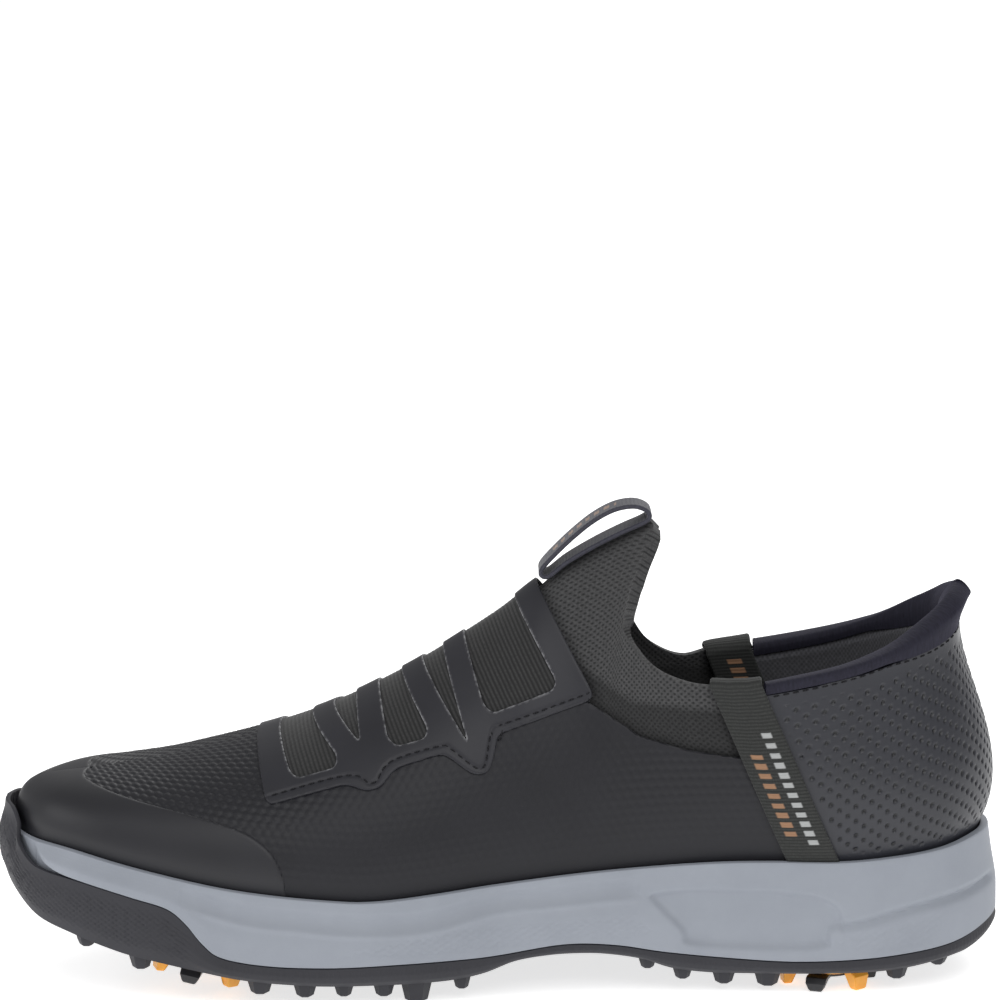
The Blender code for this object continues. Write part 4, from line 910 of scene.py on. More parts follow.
ground = add(tree, "Mix", {0: yarn.outputs[0], 6: linear("#121312"), 7: linear("#3a3c3a")}, data_type="RGBA")
grey = add(tree, "Attribute", attribute_name="grey_bars")
bronze = add(tree, "Attribute", attribute_name="bronze_bars")
tone = add(tree, "Mix", {0: grey.outputs["Fac"], 6: ground.outputs[2], 7: linear("#a3a5a5")}, data_type="RGBA")
tone = add(tree, "Mix", {0: bronze.outputs["Fac"], 6: tone.outputs[2], 7: linear("#936f54")}, data_type="RGBA")
bump = add(tree, "Bump", {"Height": yarn.outputs[0], "Strength": 0.5, "Distance": 0.12 * MM})
tree.links.new(tone.outputs[2], shader.inputs["Base Color"])
tree.links.new(bump.outputs[0], shader.inputs["Normal"])


def tape_piece(name, middle, outward, thick, finish, looped=False, edge=0.5, **facts):
    """A woven tape from its middle face, a grid of places run by across, and outward normals. Its
    selvedges are rounded over edge mm."""
    runs, across = middle.shape[:2]
    width = np.r_[0, np.cumsum(np.linalg.norm(np.diff(middle[runs // 2], axis=0), axis=1))]
    length = np.r_[0, np.cumsum(np.linalg.norm(np.diff(middle[:, across // 2], axis=0), axis=1))]
    from_side = np.clip(np.minimum(width, width[-1] - width) / edge, 0, 1)
    half = thick / 2 * np.sqrt(np.maximum(1 - (1 - from_side) ** 2, 0.09))
    rib = 0.07 * np.sin(2 * np.pi * length / TAPE_RIB)[:, None] * (from_side > 0.9)
    faces_out = middle + outward * (half[None] + rib)[:, :, None]
    faces_in = middle - outward * (half[None] + rib)[:, :, None]
    ring = np.concatenate([faces_out, faces_in[:, ::-1]], axis=1)
    around = ring.shape[1]
    faces = []
    for i in range(runs if looped else runs - 1):
        j = (i + 1) % runs
        for a in range(around):
            b = (a + 1) % around
            faces.append((i * around + a, i * around + b, j * around + b, j * around + a))
    if not looped:
        faces += [tuple(range(around - 1, -1, -1)), tuple((runs - 1) * around + a for a in range(around))]
    u = np.r_[width, width[::-1]]
    laid = np.stack([np.tile(u, (runs, 1)), np.repeat(length[:, None], around, axis=1)], axis=2)
    obj = mesh_piece(name, ring.reshape(-1, 3), faces, [finish], laid=laid.reshape(-1, 2) * MM, sharp=60, **facts)
    obj.data.validate()
    return obj, np.tile(u, (runs, 1)), np.repeat(length[:, None], around, axis=1), across


def weave_bars(obj, name, on):
    """Marks where the bars' yarn lies on the face, from 0 to 1 at each point."""
    marks = obj.data.attributes.new(name, "FLOAT", "POINT")
    marks.data.foreach_set("value", on.astype(np.float32).reshape(-1))


def bars(u, v, column, wide, start, end):
    """Bars across a tape: one column of them, from start to end along it."""
    rhythm = ((v - start) % (BAR + BAR_GAP)) < BAR
    return (np.abs(u - column) < wide / 2) & rhythm & (v > start) & (v < end)


def face_in(side, x, z, lift):
    places, normals = face_of[side].under([(x, z)], lift)
    return places[0], normals[0]


ACROSS = np.linspace(-STRAP_WIDTH / 2, STRAP_WIDTH / 2, 33)
for side in SIDES:
    top = last_columns(side, np.linspace(0.6, 0.9, 600), 2)[:, -1]
    middle = []
    for shift in ACROSS:
        column_top = float(np.interp(STRAP_TOP[0] + shift, top[:, 0], top[:, 2]))
        up = np.arange(STRAP_FOOT, column_top, 0.28)
        mid_out, mid_in = STRAP_OUT - TAPE / 2, STRAP_IN + TAPE / 2
        low_x = [strap_x(z, shift) for z in up]
        outer, normals = face_of[side].under(np.c_[low_x, up], mid_out)
        down = np.arange(column_top - 0.4, STRAP_TAIL, -0.28)
        inner, _ = face_of[side].under(np.c_[[strap_x(z, shift) for z in down], down], mid_in)
        turn = np.linspace(0, math.pi, 26)[1:-1]
        crest = (outer[-1] + inner[0]) / 2
        spread = (outer[-1] - inner[0]) / 2
        arc = crest + spread * np.cos(turn)[:, None] + np.array([0, 0, FOLD_RISE + TAPE / 2]) * np.sin(turn)[:, None]
        line = np.vstack([outer, arc, inner])
        middle.append(paced(line, count=380))
    middle = np.stack(middle, axis=1)
    for _ in range(6):  # the tape is flat and stiff, so it bridges small hollows
        middle[1:-1] += (middle[:-2] + middle[2:] - 2 * middle[1:-1]) / 4
        middle[:, 1:-1] += (middle[:, :-2] + middle[:, 2:] - 2 * middle[:, 1:-1]) / 4
    outward = np.cross(np.gradient(middle, axis=0), np.gradient(middle, axis=1))
    outward *= (1 if side == "medial" else -1) / np.linalg.norm(outward, axis=2)[:, :, None]
    if (outward[40, 16] @ np.array([0, 1 if side == "lateral" else -1, 0])) < 0:
        outward = -outward
    strap, u, v, across = tape_piece(f"strap_{side}", middle, outward, TAPE, grosgrain,
                                     replaces=[f"strap_{side}"], slot="webbing")
    outside = np.r_[np.ones(across), np.zeros(across)][None] > 0
    weave_bars(strap, "grey_bars", bars(u, v, 10.4, 3.0, 9.0, 46.0) & outside)
    tail = v.max() - 3.0
    weave_bars(strap, "bronze_bars",
               (bars(u, v, 4.9, 3.0, 12.0, 39.0) | bars(u, v, 8.0, 4.2, tail - 12.0, tail)) & outside)

# Collar binding: a knitted nylon band folded over the top edge from the strap round the heel, wider at
# the back, where it forms the shoehorn-shaped heel. Lockstitching runs just under it.
COLLAR_START = 77.6
BAND_DEPTH = 3.2
BAND_DEPTH_AT_HEEL = 9.6
PEAK_DROP = 2.6  # how far the band's top edge settles at the heel
BAND_SECTION = [
    (0.35, 1.0), (0.55, 0.6), (0.42, 0.25), (-0.6, -0.02), (-3.4, -0.12), (-6.1, -0.02), (-6.9, 0.3), (-7.0, 0.6), (-6.8, 1.0),
]
BAND_RIB = 0.7  # fine ribs across the band

# Brushed nylon jersey: a dark navy with a violet edge in the light, from its short pile.
nylon_jersey, tree, shader = new_finish(
    "brushed_nylon_jersey", Roughness=0.78, IOR=1.53, Specular_IOR_Level=0.25, Sheen_Weight=0.12,
    Sheen_Roughness=0.45, Sheen_Tint=linear("#6f6a9a"))
laid = add(tree, "UVMap", uv_map="laid_flat")
course = add(tree, "Mapping", {"Vector": laid.outputs[0], "Scale": (1000 / BAND_RIB, 420, 1)})
rib = add(tree, "TexNoise", {"Vector": course.outputs[0], "Scale": 1.0, "Detail": 3.0}, noise_dimensions="2D")
tone = add(tree, "Mix", {0: rib.outputs["Fac"], 6: linear("#171620"), 7: linear("#292836")}, data_type="RGBA")
bump = add(tree, "Bump", {"Height": rib.outputs["Fac"], "Strength": 0.6, "Distance": 0.2 * MM})
tree.links.new(tone.outputs[2], shader.inputs["Base Color"])
tree.links.new(bump.outputs[0], shader.inputs["Normal"])


def below_top(column, distance):
    """The point of a column this far under its top, measured along it."""
    steps = np.r_[0, np.cumsum(np.linalg.norm(np.diff(column[::-1], axis=0), axis=1))]
    return np.array([np.interp(distance, steps, column[::-1][:, k]) for k in range(3)])


BAND_SHARES = np.linspace(0.7, 1, 301)
section = open_curve(BAND_SECTION, 4)


def band_rings(side):
    """Rings of the band on one side, and the line just under its outer edge where it is sewn."""
    grid = last_columns(side, BAND_SHARES, 60)
    rings, sewn, sewn_out, depths = [], [], [], []
    for i in range(len(BAND_SHARES)):
        top = grid[i, -1]
        if top[0] < COLLAR_START:
            continue
        depth = BAND_DEPTH + (BAND_DEPTH_AT_HEEL - BAND_DEPTH) * float(smooth_step((top[0] - 112) / 26))
        last = i == len(BAND_SHARES) - 1
        run = grid[i if last else i + 1, -1] - grid[i - 1, -1]
        if last:
            run = np.array([0, 1.0 if side == "medial" else -1.0, 0])
        ring = []
        for out, share in section:
            spot = below_top(grid[i], max(share, 0) * depth)
            under = below_top(grid[i], max(share, 0) * depth + 1.5)
            outward = np.cross(under - spot, run) * (1 if side == "medial" else -1)
            outward /= np.linalg.norm(outward)
            settle = PEAK_DROP * float(smooth_step((top[0] - 118) / 20)) * (1 - max(share, 0))
            ring.append(spot + outward * out + np.array([0, 0, max(-share, 0) * depth - settle]))
        spot = below_top(grid[i], depth + 0.8)
        under = below_top(grid[i], depth + 2.3)
        outward = np.cross(under - spot, run) * (1 if side == "medial" else -1)
        rings.append(ring)
        depths.append(depth)
        sewn.append(spot)
        sewn_out.append(outward / np.linalg.norm(outward))
    return rings, np.array(sewn), np.array(sewn_out)


band = {side: band_rings(side) for side in SIDES}
rings = np.array(band["medial"][0] + band["lateral"][0][-2::-1])
count, width = rings.shape[:2]
run = np.r_[0, np.cumsum(np.linalg.norm(np.diff(rings[:, width // 2], axis=0), axis=1))]
girth = np.r_[0, np.cumsum(np.linalg.norm(np.diff(rings[0], axis=0), axis=1))]
laid = np.stack([np.repeat(run[:, None], width, axis=1), np.tile(girth, (count, 1))], axis=2)
faces = [tuple(range(width)), tuple(range(count * width - 1, (count - 1) * width - 1, -1))]
for i in range(count - 1):
    for a in range(width):
        b = (a + 1) % width
        faces.append((i * width + a, i * width + b, (i + 1) * width + b, (i + 1) * width + a))
binding = mesh_piece("collar_binding", rings.reshape(-1, 3), faces, [nylon_jersey], laid=laid.reshape(-1, 2) * MM, sharp=50,
                     replaces=["collar_binding"], slot="navy_textile")
seams = [(band[side][1][4:-2] + band[side][2][4:-2] * 0.05, band[side][2][4:-2]) for side in SIDES]
sew("binding_stitching", seams, bonded_thread, length=2.0, gap=0.9, radius=0.26)

# Pull loop: the same navy yarn woven as a 13 mm tape, sewn into a closed drop over the tongue's edge.
LOOP_LINE = [
    (12.3, 120.8), (12.6, 122.9), (16.4, 127.2), (22, 132.6), (28, 137.4), (34, 140.6), (39.6, 141.6),
    (43.4, 140.4), (44.4, 138.3), (42.4, 136.6), (36, 133.7), (28, 129.6), (20, 124.8), (14.6, 120.6),
]
LOOP_WIDTH = 13.0
LOOP_TAPE = 1.3
LOOP_SETTLE = 0.5  # the tape settles this far on to the knit
line = paced(np.vstack([closed_curve(LOOP_LINE, 16), closed_curve(LOOP_LINE, 16)[:1]]), 0.3)[:-1]
line[:, 1] -= LOOP_SETTLE
ahead = np.roll(line, -1, axis=0) - np.roll(line, 1, axis=0)
ahead /= np.linalg.norm(ahead, axis=1)[:, None]
loop_out = np.stack([-ahead[:, 1], np.zeros(len(line)), ahead[:, 0]], axis=1)
spread = np.linspace(-LOOP_WIDTH / 2, LOOP_WIDTH / 2, 29)
middle = np.stack([np.stack([line[:, 0], np.full(len(line), y), line[:, 1]], axis=1) for y in spread], axis=1)
outward = np.repeat(loop_out[:, None], len(spread), axis=1)
if (line[10:20, 1].mean() - line[:, 1].mean()) * outward[15, 0, 2] < 0 and outward[60, 0, 2] < 0:
    outward = -outward
woven_nylon, tree, shader = new_finish(
    "woven_navy_nylon", Roughness=0.72, IOR=1.53, Sheen_Weight=0.2, Sheen_Roughness=0.4)
laid = add(tree, "UVMap", uv_map="laid_flat")
thread_map = add(tree, "Mapping", {"Vector": laid.outputs[0], "Scale": (2200, 900, 1)})
fibre = add(tree, "TexNoise", {"Vector": thread_map.outputs[0], "Scale": 1.0, "Detail": 3.0}, noise_dimensions="2D")
ground = add(tree, "Mix", {0: fibre.outputs["Fac"], 6: linear("#1c1c26"), 7: linear("#3e3e4b")}, data_type="RGBA")
bronze = add(tree, "Attribute", attribute_name="bronze_bars")
tone = add(tree, "Mix", {0: bronze.outputs["Fac"], 6: ground.outputs[2], 7: linear("#8b7160")}, data_type="RGBA")
bump = add(tree, "Bump", {"Height": fibre.outputs["Fac"], "Strength": 0.5, "Distance": 0.15 * MM})
tree.links.new(tone.outputs[2], shader.inputs["Base Color"])
tree.links.new(bump.outputs[0], shader.inputs["Normal"])
loop, u, v, across = tape_piece("pull_loop", middle, outward, LOOP_TAPE, woven_nylon, looped=True, edge=0.6,
                                replaces=["pull_loop"], slot="navy_textile")
outside = np.r_[np.ones(across), np.zeros(across)][None] > 0
weave_bars(loop, "bronze_bars", bars(u, v, LOOP_WIDTH / 2, 4.4, 8.0, 31.0) & outside)

# Insole: a non-woven strobel board sewn to the lining's edge closes the upper; on it lies a moulded
# foam sockliner, open-cell polyurethane under a brushed tricot cover.
LIP = 2.5  # thickness of the outsole's upturned lip
GAP = 0.3  # clearance between pieces that touch
LIP_TOP = [
    (-150, 54.0), (-146.5, 52.5), (-143, 45), (-139.5, 40.5), (-135, 38.3), (-122, 36.1), (-107, 32.5),
    (-97, 29.8), (-91.5, 25.5), (-86.5, 19.5), (-81, 15.6), (-68, 13.4), (-49, 12.5), (-30, 12.8),
    (-10, 13.2), (0, 13.9), (19, 16.2), (34, 15.5), (49, 13.1), (68, 11.2), (88, 10.2), (108, 10.9),
    (128, 12.9), (139, 15.0), (150, 18.5),
]
OUTSOLE_BOTTOM = [
    (-150, 32.5), (-146, 29.0), (-138, 23.4), (-127, 20.0), (-118, 17.4), (-109, 15.0), (-100, 13.3),
    (-90, 11.4), (-75, 8.7), (-58, 7.2), (-48, 6.7), (-36, 6.6), (-24, 6.6), (-13, 7.0), (-4, 8.5),
    (5, 11.6), (15, 12.9), (24, 13.1), (32, 12.6), (42, 10.9), (51, 8.0), (62, 6.6), (74, 6.35),
    (86, 6.3), (98, 6.3), (108, 6.5), (120, 7.3), (135, 9.4), (142, 10.4), (150, 13.8),
]
RIM_DEPTH = 6.0  # from the rim down to the midsole's deck
PLATE = 3.4  # thickness of the outsole's plate
lip_z = heights(LIP_TOP)
bottom_z = heights(OUTSOLE_BOTTOM)
FLOOR_ROWS = 24  # rows across a sole piece's flat faces

fibre_board, tree, shader = new_finish("needled_fibre_board", Roughness=0.95, IOR=1.5)
place = add(tree, "TexCoord")
# Non-woven polyester: pale, felted, with short fibres in every direction.
felt = add(tree, "TexNoise", {"Vector": place.outputs["Object"], "Scale": 1400.0, "Detail": 6.0, "Distortion": 1.5})
tone = add(tree, "Mix", {0: felt.outputs["Fac"], 6: linear("#a6a29b"), 7: linear("#d0ccc4")}, data_type="RGBA")
bump = add(tree, "Bump", {"Height": felt.outputs["Fac"], "Strength": 0.4, "Distance": 0.15 * MM})
tree.links.new(tone.outputs[2], shader.inputs["Base Color"])
tree.links.new(bump.outputs[0], shader.inputs["Normal"])
dress("strobel_board", fibre_board)


def deck_z(x):
    return rim_z(x) - RIM_DEPTH


def plate_top(x):
    return np.minimum(bottom_z(x) + PLATE, lip_z(x) - 0.8)


def sole_body(name, profile, finish, step=1.0, relief=None, marks=None, sharp=35):
    """A body across the sole. profile(x) gives its edge, bottom first, as rows of insets and heights
    for every station at once; the lateral side mirrors it. relief moves the wall out along the
    outline's normal by a function of (x, z, side)."""
    shares = np.linspace(0, 1, int(SIDE_LENGTH / step) + 1)
    walls = []
    for side in SIDES:
        spots, out = side_points(side, shares)
        inset, z = profile(spots[:, 0])
        push = relief(np.repeat(spots[:, :1], z.shape[1], axis=1), z, side) if relief else np.zeros(z.shape)
        flat = spots[:, None] - out[:, None] * (inset - push)[:, :, None]
        walls.append(np.concatenate([flat, z[:, :, None]], axis=2))
    medial, lateral = walls
    middle = (medial[[0, -1]] + lateral[[0, -1]]) / 2
    medial[[0, -1]] = lateral[[0, -1]] = middle
    for wall in walls:
        wall[1:-1, :, 0] = np.clip(wall[1:-1, :, 0], wall[0, :, 0] + 0.02, wall[-1, :, 0] - 0.02)
    spread = np.linspace(0, 1, FLOOR_ROWS + 1)[1:-1][None, :, None]
    under = lateral[:, :1] * (1 - spread) + medial[:, :1] * spread
    over = medial[:, -1:] * (1 - spread) + lateral[:, -1:] * spread
    sections = np.concatenate([medial, over, lateral[:, ::-1], under], axis=1)
    count, width = sections.shape[:2]
    index = np.arange(count * width).reshape(count, width)
    quads = np.stack([index[:-1], np.roll(index[:-1], -1, axis=1), np.roll(index[1:], -1, axis=1), index[1:]], axis=2)
    mesh = bpy.data.meshes.new(name)
    mesh.from_pydata((sections.reshape(-1, 3) * MM).tolist(), [], quads.reshape(-1, 4).tolist())
    build = bmesh.new()
    build.from_mesh(mesh)
    bmesh.ops.remove_doubles(build, verts=build.verts, dist=2e-6)
    bmesh.ops.dissolve_degenerate(build, edges=build.edges, dist=1e-7)
    bmesh.ops.recalc_face_normals(build, faces=build.faces)
    build.to_mesh(mesh)
    build.free()
    if marks:
        middles = np.empty(len(mesh.polygons) * 3, np.float32)
        mesh.polygons.foreach_get("center", middles)
        mesh.polygons.foreach_set("material_index", marks(middles.reshape(-1, 3) / MM).astype(np.int32))
    mesh.shade_smooth()
    mesh.set_sharp_from_angle(angle=math.radians(sharp))
    return bpy.data.objects.new(name + "_detail", mesh)


def sheet_profile(inset, low, high, cup):
    """A sheet on the deck with a rounded, upturned edge."""
    def profile(x):
        z, edge = deck_z(x)[:, None], inset + 3.6 * smooth_step((x - 92) / 24)[:, None]
        turn = np.linspace(-math.pi / 2, math.pi / 2, 9)[None]
        half, rise = (high - low) / 2, cup * smooth_step(np.linspace(0, 1, 8))[None]
        run_in = np.linspace(9, 1, 8)[None]
        insets = np.concatenate([edge + run_in, edge + half * (1 - np.cos(turn)) + 0 * z, edge + run_in[:, ::-1]], axis=1)
        levels = np.concatenate([z + low + rise, z + (low + high) / 2 + cup + half * np.sin(turn),
                                 z + high + rise[:, ::-1]], axis=1)
        return insets, levels
    return profile


foam = sole_body("insole_foam", sheet_profile(11.4, 1.8, 5.4, 1.6), open_foam, 1.6)
set_up(foam, [open_foam], replaces=["insole_foam"], slot="foam")

# The cover is the same tricot as the linings but dyed a step darker, with a needled face.
sockliner_cloth, tree, shader = new_finish(
    "sockliner_tricot", Roughness=0.95, IOR=1.5, Sheen_Weight=0.2, Sheen_Roughness=0.6)
place = add(tree, "TexCoord")
knit = add(tree, "TexVoronoi", {"Vector": place.outputs["Object"], "Scale": 1100.0, "Randomness": 0.5})
tone = add(tree, "Mix", {0: knit.outputs["Distance"], 6: linear("#232327"), 7: linear("#4b4b52")}, data_type="RGBA")
bump = add(tree, "Bump", {"Height": knit.outputs["Distance"], "Strength": 0.6, "Distance": 0.2 * MM})
tree.links.new(tone.outputs[2], shader.inputs["Base Color"])
tree.links.new(bump.outputs[0], shader.inputs["Normal"])
cover = sole_body("insole_cover", sheet_profile(11.4, 5.9, 6.9, 1.6), sockliner_cloth, 1.6)
set_up(cover, [sockliner_cloth], replaces=["insole_cover"], slot="lining")

# Midsole: compression-moulded EVA foam, cemented to the upper up to its rim. A soft band runs under
# the rim, a pocket sits under the arch, a groove cuts into the heel, and two areas are cross-hatched.
RIM_OUT, RIM_IN = 2.8, 5.2  # the rim's two edges, in from the outline
CREASE = [(-93.1, 31.8), (-75.6, 26.8), (-58.1, 24.6), (-40.7, 22.8), (-20.4, 23.2), (0, 27.4), (17.6, 28.6),
          (29.4, 29.6), (41.1, 30.3)]
POCKET = [(43.5, 29.3), (52.4, 20), (57.5, 14.7), (94.3, 14), (98, 19.2), (101.5, 21), (99.4, 27.7),
          (88.1, 31.4), (58.8, 32.4), (45.5, 31.4)]
HEEL_GROOVE = [(101.5, 21), (108.9, 22.4), (117.7, 24.8), (130.1, 27.3), (141.6, 29), (147.2, 30)]
HATCHED = [
    [(-52.4, 15.9), (-32, 20.8), (-8.8, 24), (17.6, 24.7), (41.2, 25.7), (48.6, 18.6), (35.3, 16.4), (0, 15.3),
     (-29.2, 14)],
    [(95.7, 14), (100.7, 19.4), (108.9, 20.6), (123.9, 23.6), (133.2, 25.4), (128.8, 13.8), (112, 12.3)],
]
HATCH = 1.7  # spacing of the cross-hatch's grooves
WALL_ROWS = 44

# Moulded EVA: matt blue-grey, a fine closed-cell skin, a touch paler where it rubs.
moulded_eva, tree, shader = new_finish("moulded_eva", Roughness=0.58, IOR=1.48, Specular_IOR_Level=0.4)
place = add(tree, "TexCoord")
skin = add(tree, "TexVoronoi", {"Vector": place.outputs["Object"], "Scale": 1900.0})
cloud = add(tree, "TexNoise", {"Vector": place.outputs["Object"], "Scale": 30.0, "Detail": 8.0, "Roughness": 0.62})
tone = add(tree, "Mix", {0: cloud.outputs["Fac"], 6: linear("#868b94"), 7: linear("#9da2ab")}, data_type="RGBA")
bump = add(tree, "Bump", {"Height": skin.outputs["Distance"], "Strength": 0.25, "Distance": 0.05 * MM})
tree.links.new(tone.outputs[2], shader.inputs["Base Color"])
tree.links.new(bump.outputs[0], shader.inputs["Normal"])


def midsole_profile(x):
    clear = GAP + 3.6 * np.exp(-(((x + 141) / 9) ** 2))
    floor, high = plate_top(x) + GAP, rim_z(x)
    step = np.minimum(lip_z(x) + clear, high - 1.2)
    open_wall = smooth_step((high - step - 1.6) / 5)
    inner = LIP + GAP + 0.5 * np.exp(-(((x + 146) / 8) ** 2))
    outer = inner * (1 - open_wall)
    rim = np.maximum(RIM_OUT, outer)
    ledge, tall = np.maximum(step, floor + 0.2), high - step
    waist = 0.5 * (outer + rim) + 0.4 * open_wall
    s = np.linspace(0, 1, WALL_ROWS)[None]
    knots = [(outer, ledge + 0.15), (outer + 0.1 * open_wall, step + 0.35 * tall), (waist, step + 0.7 * tall),
             (rim, high - 0.35)]
    at = np.array([0, 0.35, 0.7, 1.0])
    wall_in = np.stack([np.interp(s[0], at, row) for row in np.stack([k[0] for k in knots], axis=1)])
    wall_z = np.stack([np.interp(s[0], at, row) for row in np.stack([k[1] for k in knots], axis=1)])
    for _ in range(14):
        wall_in[:, 1:-1] += (wall_in[:, :-2] + wall_in[:, 2:] - 2 * wall_in[:, 1:-1]) / 4
    parts = [(inner, floor), (inner, (floor + ledge) / 2), (inner, ledge), ((inner + outer) / 2, ledge + 0.1)]
    low_in, low_z = (np.stack([part[k] for part in parts], axis=1) for k in (0, 1))
    top = [(rim + 0.12, high - 0.12), (rim + 0.4, high), (RIM_IN - 0.3 + 0 * high, high),
           (RIM_IN + 0 * high, high - 0.3), (RIM_IN + 0 * high, high - 2.6), (RIM_IN + 0 * high, deck_z(x))]
    top_in, top_z = (np.stack([part[k] for part in top], axis=1) for k in (0, 1))
    return np.concatenate([low_in, wall_in, top_in], axis=1), np.concatenate([low_z, wall_z, top_z], axis=1)


def midsole_relief(x, z, side):
    shape = x.shape
    x, z = x.reshape(-1), z.reshape(-1)
    crease = open_curve(CREASE, 6)
    below_crease = np.interp(x, crease[:, 0], crease[:, 1], left=99, right=99) - z
    fade = smooth_step((x + 97) / 14) * smooth_step((44 - x) / 8)
    hollow = -1.1 * smooth_step(1 - np.abs(below_crease + 2.4) / 3.6) * fade
    lip = 0.35 * np.exp(-((below_crease - 0.9) / 0.9) ** 2) * fade
    pocket = -1.5 * smooth_step(within(closed_curve(POCKET, 6), x, z) / 2.2)
    groove = -1.2 * np.exp(-(distance_to(open_curve(HEEL_GROOVE, 5), x, z) / 1.15) ** 2)
    hatched = np.zeros(len(x))
    for outline in HATCHED:
        hatched = np.maximum(hatched, smooth_step((within(np.array(outline, float), x, z) - 0.6) / 1.2))
    lines = np.zeros(len(x))
    for lean in (30, -30):
        along = x * math.sin(math.radians(lean)) + z * math.cos(math.radians(lean))
        lines = np.maximum(lines, smooth_step(1 - np.abs((along / HATCH) % 1 - 0.5) / 0.22))
    moved = hollow + lip + pocket + groove - 0.2 * lines * hatched
    on_wall = smooth_step((z - lip_z(x) - 1.2) / 1.5) * smooth_step((rim_z(x) - 1.2 - z) / 1.5)
    return (moved * on_wall).reshape(shape)


midsole = sole_body("midsole", midsole_profile, moulded_eva, 0.55, relief=midsole_relief)

# Outsole: compression-moulded rubber. Its lip turns up over the toe as a knurled bumper; studs stand
# along both edges and between the cleats. The knurl is diamonds 2.3 mm apart.
KNURL = 2.3
OUTSOLE_ROWS = 34
EDGE_RIB = 1.5

# Carbon-filled rubber: charcoal, matt with a faint bloom, and a fine mould texture.
moulded_rubber, tree, shader = new_finish("moulded_rubber", Roughness=0.62, IOR=1.52, Specular_IOR_Level=0.4)
place = add(tree, "TexCoord")
mould = add(tree, "TexNoise", {"Vector": place.outputs["Object"], "Scale": 1800.0, "Detail": 3.0})
bloom = add(tree, "TexNoise", {"Vector": place.outputs["Object"], "Scale": 35.0, "Detail": 6.0})
tone = add(tree, "Mix", {0: bloom.outputs["Fac"], 6: linear("#26262b"), 7: linear("#35353b")}, data_type="RGBA")
bump = add(tree, "Bump", {"Height": mould.outputs["Fac"], "Strength": 0.4, "Distance": 0.06 * MM})
tree.links.new(tone.outputs[2], shader.inputs["Base Color"])
tree.links.new(bump.outputs[0], shader.inputs["Normal"])


def outsole_profile(x):
    low, high = bottom_z(x), lip_z(x)
    lean, tall = 2.0 * smooth_step((high - rim_z(x) + 2) / 6), high - low
    s = np.linspace(0, 1, OUTSOLE_ROWS)[None]
    bulge = np.interp(s[0], [0, 0.25, 0.55, 1], [2.2, 0.5, 0.0, 0.3])[None] + (lean[:, None] * smooth_step((s - 0.5) / 0.5))
    rows_in = np.repeat(bulge, 1 if bulge.shape[0] == len(x) else len(x), axis=0)
    rows_z = low[:, None] + tall[:, None] * s
    for _ in range(3):
        rows_in[:, 1:-1] += (rows_in[:, :-2] + rows_in[:, 2:] - 2 * rows_in[:, 1:-1]) / 4
    inside = np.where(tall > 8, low + 0.6 * tall, high - 0.4)
    inner_top = np.maximum(1.6 + lean, 1.8)
    top = [(0.3 + lean + 0.35, high + 0.12), (inner_top - 0.25, high + 0.12), (inner_top, high - 0.1),
           (LIP + 0 * x, inside), (LIP + 0 * x, plate_top(x))]
    top_in, top_z = (np.stack([part[k] for part in top], axis=1) for k in (0, 1))
    return np.concatenate([rows_in, top_in], axis=1), np.concatenate([rows_z, top_z], axis=1)


def outsole_relief(x, z, side):
    """Knurling on the toe's bumper, and fine upright ribs along the thin edge behind it."""
    tall = np.maximum(lip_z(x) - bottom_z(x), 1.0)
    share = (z - bottom_z(x)) / tall
    line = SIDES[side]
    run = np.r_[0, np.cumsum(np.linalg.norm(np.diff(line, axis=0), axis=1))]
    along = np.interp(x, line[:, 0], run)
    bumper = smooth_step((-88 - x) / 6) * smooth_step((share - 0.12) / 0.1) * smooth_step((0.9 - share) / 0.1)
    a, b = (along + 1.4 * z) / (2 * KNURL), (along - 1.4 * z) / (2 * KNURL)
    diamonds = (np.abs(np.sin(2 * np.pi * a)) * np.abs(np.sin(2 * np.pi * b))) ** 0.6
    strip = smooth_step((x + 84) / 6) * smooth_step((share - 0.3) / 0.15) * smooth_step((0.92 - share) / 0.1)
    ribs = np.abs(np.sin(np.pi * along / EDGE_RIB))
    return 0.5 * (diamonds - 0.5) * bumper + 0.22 * (ribs - 0.5) * strip


outsole = sole_body("outsole", outsole_profile, moulded_rubber, 0.5, relief=outsole_relief)

# Studs: moulded in one with the outsole, tapered, with chamfered ends. One meets the ground.
GROUND_STUD_X = -23
EDGE_STUDS = [
    (-124, 2.6, 5), (-106.8, 4.0, 6), (-70.4, 4.3, 6.5), (-56.6, 4.2, 6), (-45, 3.6, 5),
    (-33, 4.0, 5.5), (GROUND_STUD_X, 6.6, 8), (-10, 3.6, 4.5), (44, 3.0, 4.5), (54, 3.4, 5), (66, 4.0, 6),
    (79, 4.6, 7), (119, 3.6, 6), (133, 2.2, 5),
]
INNER_STUDS = [
    (-121, -12, 3.0, 6), (-112, 6, 3.2, 6), (-104, -8, 3.4, 6), (-66, -18, 4.0, 7), (-64, 2, 4.0, 7),
    (-66, 22, 4.0, 7), (-18, -22, 4.0, 7), (-16, 18, 4.0, 7), (70, 0, 4.0, 7), (122, 0, 3.6, 7),
]
CLEATS = [
    ("front_medial", -88.0, -29.0, 20), ("front_lateral", -90.0, 24.0, 5),
    ("ball_centre", -38.0, -3.0, 30), ("ball_lateral", -42.0, 34.0, 0),
    ("heel_medial", 98.0, -20.5, 10), ("heel_lateral", 98.0, 22.0, 50),
]
CLEAT_RADIUS = 13.0


